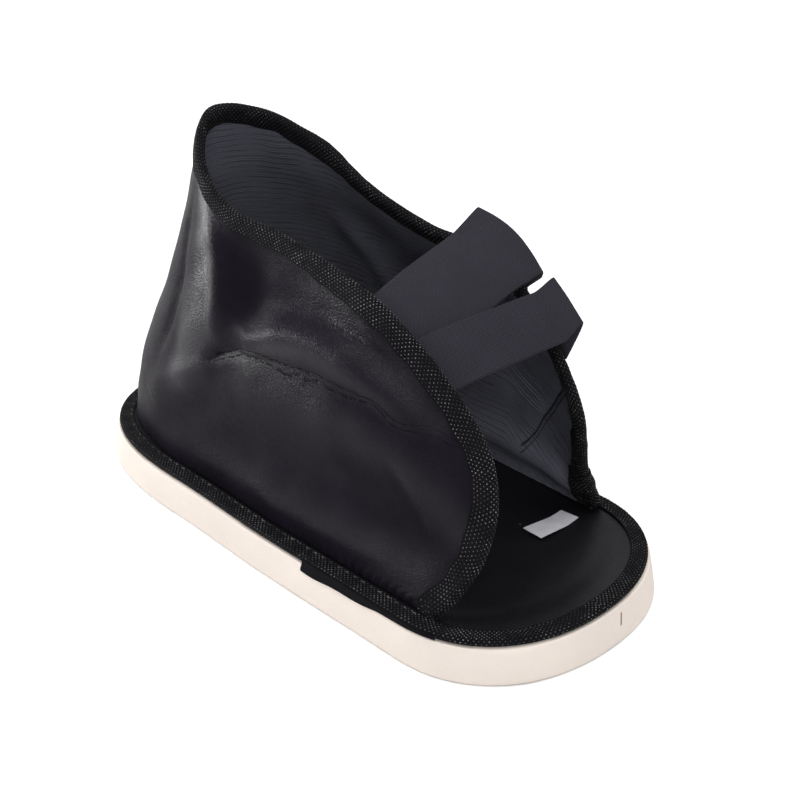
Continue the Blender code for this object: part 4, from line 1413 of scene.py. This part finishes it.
def thread_tree(finish):
    """Geometry Nodes: a rounded thread end on every point, laid along the point's own direction."""
    tree = bpy.data.node_groups.get("lay_threads")
    if tree:
        return tree
    tree = bpy.data.node_groups.new("lay_threads", "GeometryNodeTree")
    face = tree.interface
    face.new_socket("Geometry", in_out="OUTPUT", socket_type="NodeSocketGeometry")
    face.new_socket("Geometry", in_out="INPUT", socket_type="NodeSocketGeometry")
    for name, default in (("Length", 0.0012), ("Width", 0.0005), ("Height", 0.0003), ("Unevenness", 0.25)):
        face.new_socket(name, in_out="INPUT", socket_type="NodeSocketFloat").default_value = default
    face.new_socket("Seed", in_out="INPUT", socket_type="NodeSocketInt")
    given = add_node(tree, "NodeGroupInput")
    ball = add_node(tree, "GeometryNodeMeshUVSphere", None, {"Segments": 6, "Rings": 3, "Radius": 0.5})
    size = add_node(tree, "ShaderNodeCombineXYZ", None, {
        0: given["Length"], 1: given["Width"], 2: given["Height"],
    })
    thread = add_node(tree, "GeometryNodeTransform", None, {"Geometry": ball["Mesh"], "Scale": size[0]})
    turned = {}
    for axis, pivot, name in (("X", "AUTO", "along"), ("Z", "X", "up")):
        kind = {"data_type": "FLOAT_VECTOR"}
        way = add_node(tree, "GeometryNodeInputNamedAttribute", kind, {"Name": name})["Attribute"]
        facing = {"axis": axis, "pivot_axis": pivot}
        turn = add_node(tree, "FunctionNodeAlignRotationToVector", facing, {"Vector": way, **turned})
        turned = {"Rotation": turn[0]}
    least = add_node(tree, "ShaderNodeMath", {"operation": "SUBTRACT"}, {0: 1.0, 1: given["Unevenness"]})
    uneven = add_node(tree, "FunctionNodeRandomValue", {"data_type": "FLOAT"}, {
        2: least[0], 3: 1.0, "Seed": given["Seed"],
    })
    laid = add_node(tree, "GeometryNodeInstanceOnPoints", None, {
        "Points": given["Geometry"], "Instance": thread[0], "Scale": uneven[1], **turned,
    })
    real = add_node(tree, "GeometryNodeRealizeInstances", None, {"Geometry": laid[0]})
    painted = add_node(tree, "GeometryNodeSetMaterial", None, {"Geometry": real[0], "Material": finish})
    add_node(tree, "NodeGroupOutput", None, {"Geometry": painted[0]})
    return tree


def lay_threads(name, places, along, up, lengths, colours, seed, slot):
    """Threads on given places, as one plain mesh."""
    points = bpy.data.meshes.new(name + "_places")
    points.from_pydata(np.asarray(places).tolist(), [], [])
    for key, values in (("along", along), ("up", up)):
        layer = points.attributes.new(key, "FLOAT_VECTOR", "POINT")
        layer.data.foreach_set("vector", np.asarray(values, np.float32).reshape(-1))
    finish = shared("light_thread", thread_finish, colours)
    tree = thread_tree(finish)
    holder = bpy.data.objects.new(name + "_holder", points)
    bpy.context.scene.collection.objects.link(holder)
    modifier = holder.modifiers.new("threads", "NODES")
    modifier.node_group = tree
    wanted = dict(lengths, Seed=seed)
    for item in tree.interface.items_tree:
        if item.item_type == "SOCKET" and item.in_out == "INPUT" and item.name in wanted:
            modifier[item.identifier] = wanted[item.name]
    holder.update_tag()
    bpy.context.view_layer.update()
    mesh = bpy.data.meshes.new_from_object(holder.evaluated_get(bpy.context.evaluated_depsgraph_get()))
    mesh.name = name
    mesh.shade_smooth()
    bpy.data.objects.remove(holder)
    bpy.data.meshes.remove(points)
    if len(mesh.polygons) == 0:
        raise RuntimeError(name + " came out with no threads")
    mesh.materials.clear()
    add_piece(name, mesh, [finish], slot)


def along_line(line, at):
    """Points of a line at places counted in its own points."""
    index = np.arange(len(line))
    return np.stack([np.interp(at, index, line[:, axis]) for axis in range(3)], 1)


def knots_on(grid, across, pitch, low, high, closed=False):
    """Places of a tape's light threads: a slanting lattice over part of its width."""
    if closed:
        grid = np.concatenate([grid, grid[:1]])
    normal = grid_normals(grid)
    rows = max(int(round((high - low) / (pitch / 2))), 1)
    middle = lengths_along(grid[:, grid.shape[1] // 3])
    index = np.arange(len(grid))
    places, ways, ups = [], [], []
    for row in range(rows):
        column = np.interp(low + (row + 0.5) * (high - low) / rows, across, np.arange(len(across)))
        one = int(min(column, len(across) - 2))
        share = column - one
        line = grid[:, one] * (1 - share) + grid[:, one + 1] * share
        out = normal[:, one] * (1 - share) + normal[:, one + 1] * share
        wanted = np.arange(pitch * (0.25 + 0.5 * (row % 2)), middle[-1] - pitch * 0.25, pitch)
        at, ahead = np.interp(wanted, middle, index), np.interp(wanted + pitch * 0.2, middle, index)
        places.append(along_line(line, at))
        ways.append(along_line(line, ahead) - places[-1])
        ups.append(along_line(out, at))
    return np.concatenate(places), np.concatenate(ways), np.concatenate(ups)


def foot_stitches(sizes):
    """Places of the foot seam's stitches: on the rim tape, just outside the upper's foot."""
    levels = Levels(sizes)
    places, ways = [], []
    for side, reach in ((-1, NEAR_FLAP_REACH), (1, FAR_FLAP_REACH)):
        shares = side * np.linspace(0, rim_share_at(sizes, reach - SEAM_END), 900)
        line = rim_places(sizes, shares, RIM_TAPE_LAP - SEAM_MARGIN)[0]
        line = np.column_stack([line, np.full(len(line), levels.rim_top + 0.0001)])
        wanted = np.arange(sizes.stitch_pitch / 2, lengths_along(line)[-1], sizes.stitch_pitch)
        places.append(at_lengths(line, wanted))
        ways.append(at_lengths(line, wanted + 0.0005) - at_lengths(line, wanted - 0.0005))
    places, ways = np.concatenate(places), np.concatenate(ways)
    return places, ways, np.tile((0.0, 0.0, 1.0), (len(places), 1))


# Operators


BUILT = {}


def built_wall(sizes):
    """The wall, made once and shared by the pieces that lie on it."""
    if "wall" not in BUILT:
        BUILT["wall"] = Wall(sizes)
    return BUILT["wall"]


class BOOT_OT_sole(bpy.types.Operator):
    """Make the foam sole"""

    bl_idname = "boot.sole"
    bl_label = "Foam sole"

    def execute(self, context):
        make_sole(context.scene.boot_sizes, context.scene.boot_colours)
        return {"FINISHED"}


class BOOT_OT_insole(bpy.types.Operator):
    """Make the insole cover and the tape around its rim"""

    bl_idname = "boot.insole"
    bl_label = "Insole and rim tape"

    def execute(self, context):
        sizes, colours = context.scene.boot_sizes, context.scene.boot_colours
        make_insole(sizes, colours)
        BUILT["rim"] = make_rim_tape(sizes, colours)
        return {"FINISHED"}


class BOOT_OT_upper(bpy.types.Operator):
    """Make the wrap upper and the tape on its free edge"""

    bl_idname = "boot.upper"
    bl_label = "Wrap upper and edge tape"

    def execute(self, context):
        sizes, colours = context.scene.boot_sizes, context.scene.boot_colours
        wall = built_wall(sizes)
        make_upper(sizes, colours, wall)
        BUILT["edge"] = make_edge_tape(sizes, colours, wall)
        return {"FINISHED"}


class BOOT_OT_straps(bpy.types.Operator):
    """Make the two elastic straps"""

    bl_idname = "boot.straps"
    bl_label = "Elastic straps"

    def execute(self, context):
        sizes, colours = context.scene.boot_sizes, context.scene.boot_colours
        wall = built_wall(sizes)
        for name, strap in zip(("rear", "front"), STRAPS):
            make_strap(name + "_webbing", strap, sizes, colours, wall, name + "_strap")
        return {"FINISHED"}


class BOOT_OT_label(bpy.types.Operator):
    """Make the bare label"""

    bl_idname = "boot.label"
    bl_label = "Bare label"

    def execute(self, context):
        make_label(context.scene.boot_sizes, context.scene.boot_colours)
        return {"FINISHED"}


class BOOT_OT_threads(bpy.types.Operator):
    """Lay the light threads of both tapes and the stitches of the foot seam"""

    bl_idname = "boot.threads"
    bl_label = "Threads and stitches"

    def execute(self, context):
        sizes, colours = context.scene.boot_sizes, context.scene.boot_colours
        if "edge" not in BUILT or "rim" not in BUILT:
            raise RuntimeError("make the insole and the upper before their threads")
        strips = [
            knots_on(grid, across, sizes.knot_pitch, KNOT_MARGIN, across[-1] - KNOT_MARGIN)
            for grid, across in BUILT["edge"]
        ]
        places = [np.concatenate(parts) for parts in zip(*strips)]
        lay_threads("edge_tape_knots", *places, KNOT, colours, sizes.seed, "edge_tape")
        places = knots_on(*BUILT["rim"], sizes.knot_pitch, KNOT_MARGIN, RIM_KNOTS_END, True)
        lay_threads("rim_tape_knots", *places, KNOT, colours, sizes.seed + 1, "rim_tape")
        lay_threads("foot_seam", *foot_stitches(sizes), STITCH, colours, sizes.seed + 2, "rim_tape")
        return {"FINISHED"}


class BOOT_OT_studio(bpy.types.Operator):
    """Set up the pale floor, the soft lights and the camera"""

    bl_idname = "boot.studio"
    bl_label = "Studio"

    def execute(self, context):
        make_studio(context.scene.studio)
        return {"FINISHED"}


def make_light(name, power, size, place):
    """A soft rectangular light that faces the boot."""
    light = bpy.data.lights.new(name, "AREA")
    light.energy = power
    light.shape = "RECTANGLE"
    light.size, light.size_y = size
    thing = bpy.data.objects.new(name, light)
    bpy.context.scene.collection.objects.link(thing)
    thing.location = place
    thing.rotation_euler = (Vector(BOOT_MIDDLE) - Vector(place)).to_track_quat("-Z", "Y").to_euler()


# Lights: side lengths, then place, in metres
LIGHTS = {
    "top": ((2.6, 2.6), (0.2, 0.0, 1.9)),
    "side": ((0.5, 0.5), (-1.25, 0.35, 0.35)),
    "rear": ((0.5, 0.5), (-0.35, 1.30, 0.30)),
    "front": ((0.7, 0.7), (-0.9, -1.4, 1.1)),
}
BOOT_MIDDLE = (0.0, 0.0, 0.08)
FLOOR_REACH = 6.0
# The room's light: bright up to one height over the horizon, dim from another, as parts of straight up
SKY = {"From Min": 0.05, "From Max": 0.45, "To Min": 1.0, "To Max": 0.22}

# Camera, as turned round the boot: degrees, then metres, then focal length over frame width
CAMERA = {
    "azimuth": -41.8, "elevation": 30.09, "roll": -2.64,
    "distance": 0.80985, "right": 0.01689, "up": 0.05201,
}
FOCAL_SHARE = 2.125
FRAME_WIDTH = 36.0


def make_room(studio):
    """Pale floor, and light from all round that is dimmer overhead."""
    mesh = bpy.data.meshes.new("floor")
    corners = [(x * FLOOR_REACH, y * FLOOR_REACH, 0) for x, y in ((-1, -1), (1, -1), (1, 1), (-1, 1))]
    mesh.from_pydata(corners, [], [(0, 1, 2, 3)])
    mesh.materials.append(floor_finish(studio))
    floor = bpy.data.objects.new("floor", mesh)
    bpy.context.scene.collection.objects.link(floor)
    floor.location.z = -0.0002
    world = bpy.data.worlds.new("room")
    world.use_nodes = True
    tree = world.node_tree
    background = tree.nodes["Background"]
    background.inputs["Strength"].default_value = studio.world
    way = add_node(tree, "ShaderNodeTexCoord")
    height = add_node(tree, "ShaderNodeSeparateXYZ", None, {0: way["Generated"]})[2]
    smooth = {"interpolation_type": "SMOOTHSTEP"}
    sky = add_node(tree, "ShaderNodeMapRange", smooth, {"Value": height, **SKY})
    tree.links.new(sky["Result"], background.inputs["Color"])
    bpy.context.scene.world = world


def make_camera():
    """The camera of the photograph."""
    a, e, r = (math.radians(CAMERA[key]) for key in ("azimuth", "elevation", "roll"))
    back = Vector((math.sin(a) * math.cos(e), -math.cos(a) * math.cos(e), math.sin(e)))
    level = Vector((math.cos(a), math.sin(a), 0))
    over = back.cross(level)
    right = level * math.cos(r) + over * math.sin(r)
    up = over * math.cos(r) - level * math.sin(r)
    eye = back * CAMERA["distance"] + right * CAMERA["right"] + up * CAMERA["up"]
    lens = bpy.data.cameras.new("camera")
    lens.sensor_width = FRAME_WIDTH
    lens.lens = FRAME_WIDTH * FOCAL_SHARE
    lens.clip_start, lens.clip_end = 0.01, 100.0
    camera = bpy.data.objects.new("camera", lens)
    bpy.context.scene.collection.objects.link(camera)
    camera.matrix_world = Matrix.Translation(eye) @ Matrix((right, up, back)).transposed().to_4x4()
    bpy.context.scene.camera = camera


def make_studio(studio):
    """Floor, lights and camera."""
    make_room(studio)
    bpy.context.scene.view_settings.view_transform = "Standard"
    for name, (size, place) in LIGHTS.items():
        make_light(name + "_light", getattr(studio, name), size, place)
    make_camera()


class BOOT_PT_panel(bpy.types.Panel):
    """The boot's pieces, its sizes and its studio"""

    bl_idname = "BOOT_PT_panel"
    bl_label = "Cast Boot"
    bl_space_type = "VIEW_3D"
    bl_region_type = "UI"
    bl_category = "Cast Boot"

    def draw(self, context):
        scene = context.scene
        for group in (scene.boot_sizes, scene.boot_colours, scene.studio):
            box = self.layout.box()
            for key in group.__annotations__:
                box.prop(group, key)
        for operator in OPERATORS:
            self.layout.operator(operator.bl_idname)


OPERATORS = (
    BOOT_OT_sole, BOOT_OT_insole, BOOT_OT_upper, BOOT_OT_straps, BOOT_OT_label, BOOT_OT_threads,
    BOOT_OT_studio,
)
GROUPS = (BootSizes, BootColours, StudioSettings)


def register():
    """Register the classes, and give each scene its settings."""
    for kind in (*GROUPS, *OPERATORS, BOOT_PT_panel):
        bpy.utils.register_class(kind)
    bpy.types.Scene.boot_sizes = PointerProperty(type=BootSizes)
    bpy.types.Scene.boot_colours = PointerProperty(type=BootColours)
    bpy.types.Scene.studio = PointerProperty(type=StudioSettings)


def unregister():
    """Take the settings and the classes away again."""
    for name in ("boot_sizes", "boot_colours", "studio"):
        delattr(bpy.types.Scene, name)
    for kind in reversed((*GROUPS, *OPERATORS, BOOT_PT_panel)):
        bpy.utils.unregister_class(kind)


def main():
    """Build every piece in order."""
    register()
    bpy.ops.boot.sole()
    bpy.ops.boot.insole()
    bpy.ops.boot.upper()
    bpy.ops.boot.straps()
    bpy.ops.boot.label()
    bpy.ops.boot.threads()
    bpy.ops.boot.studio()


if __name__ == "__main__":
    main()
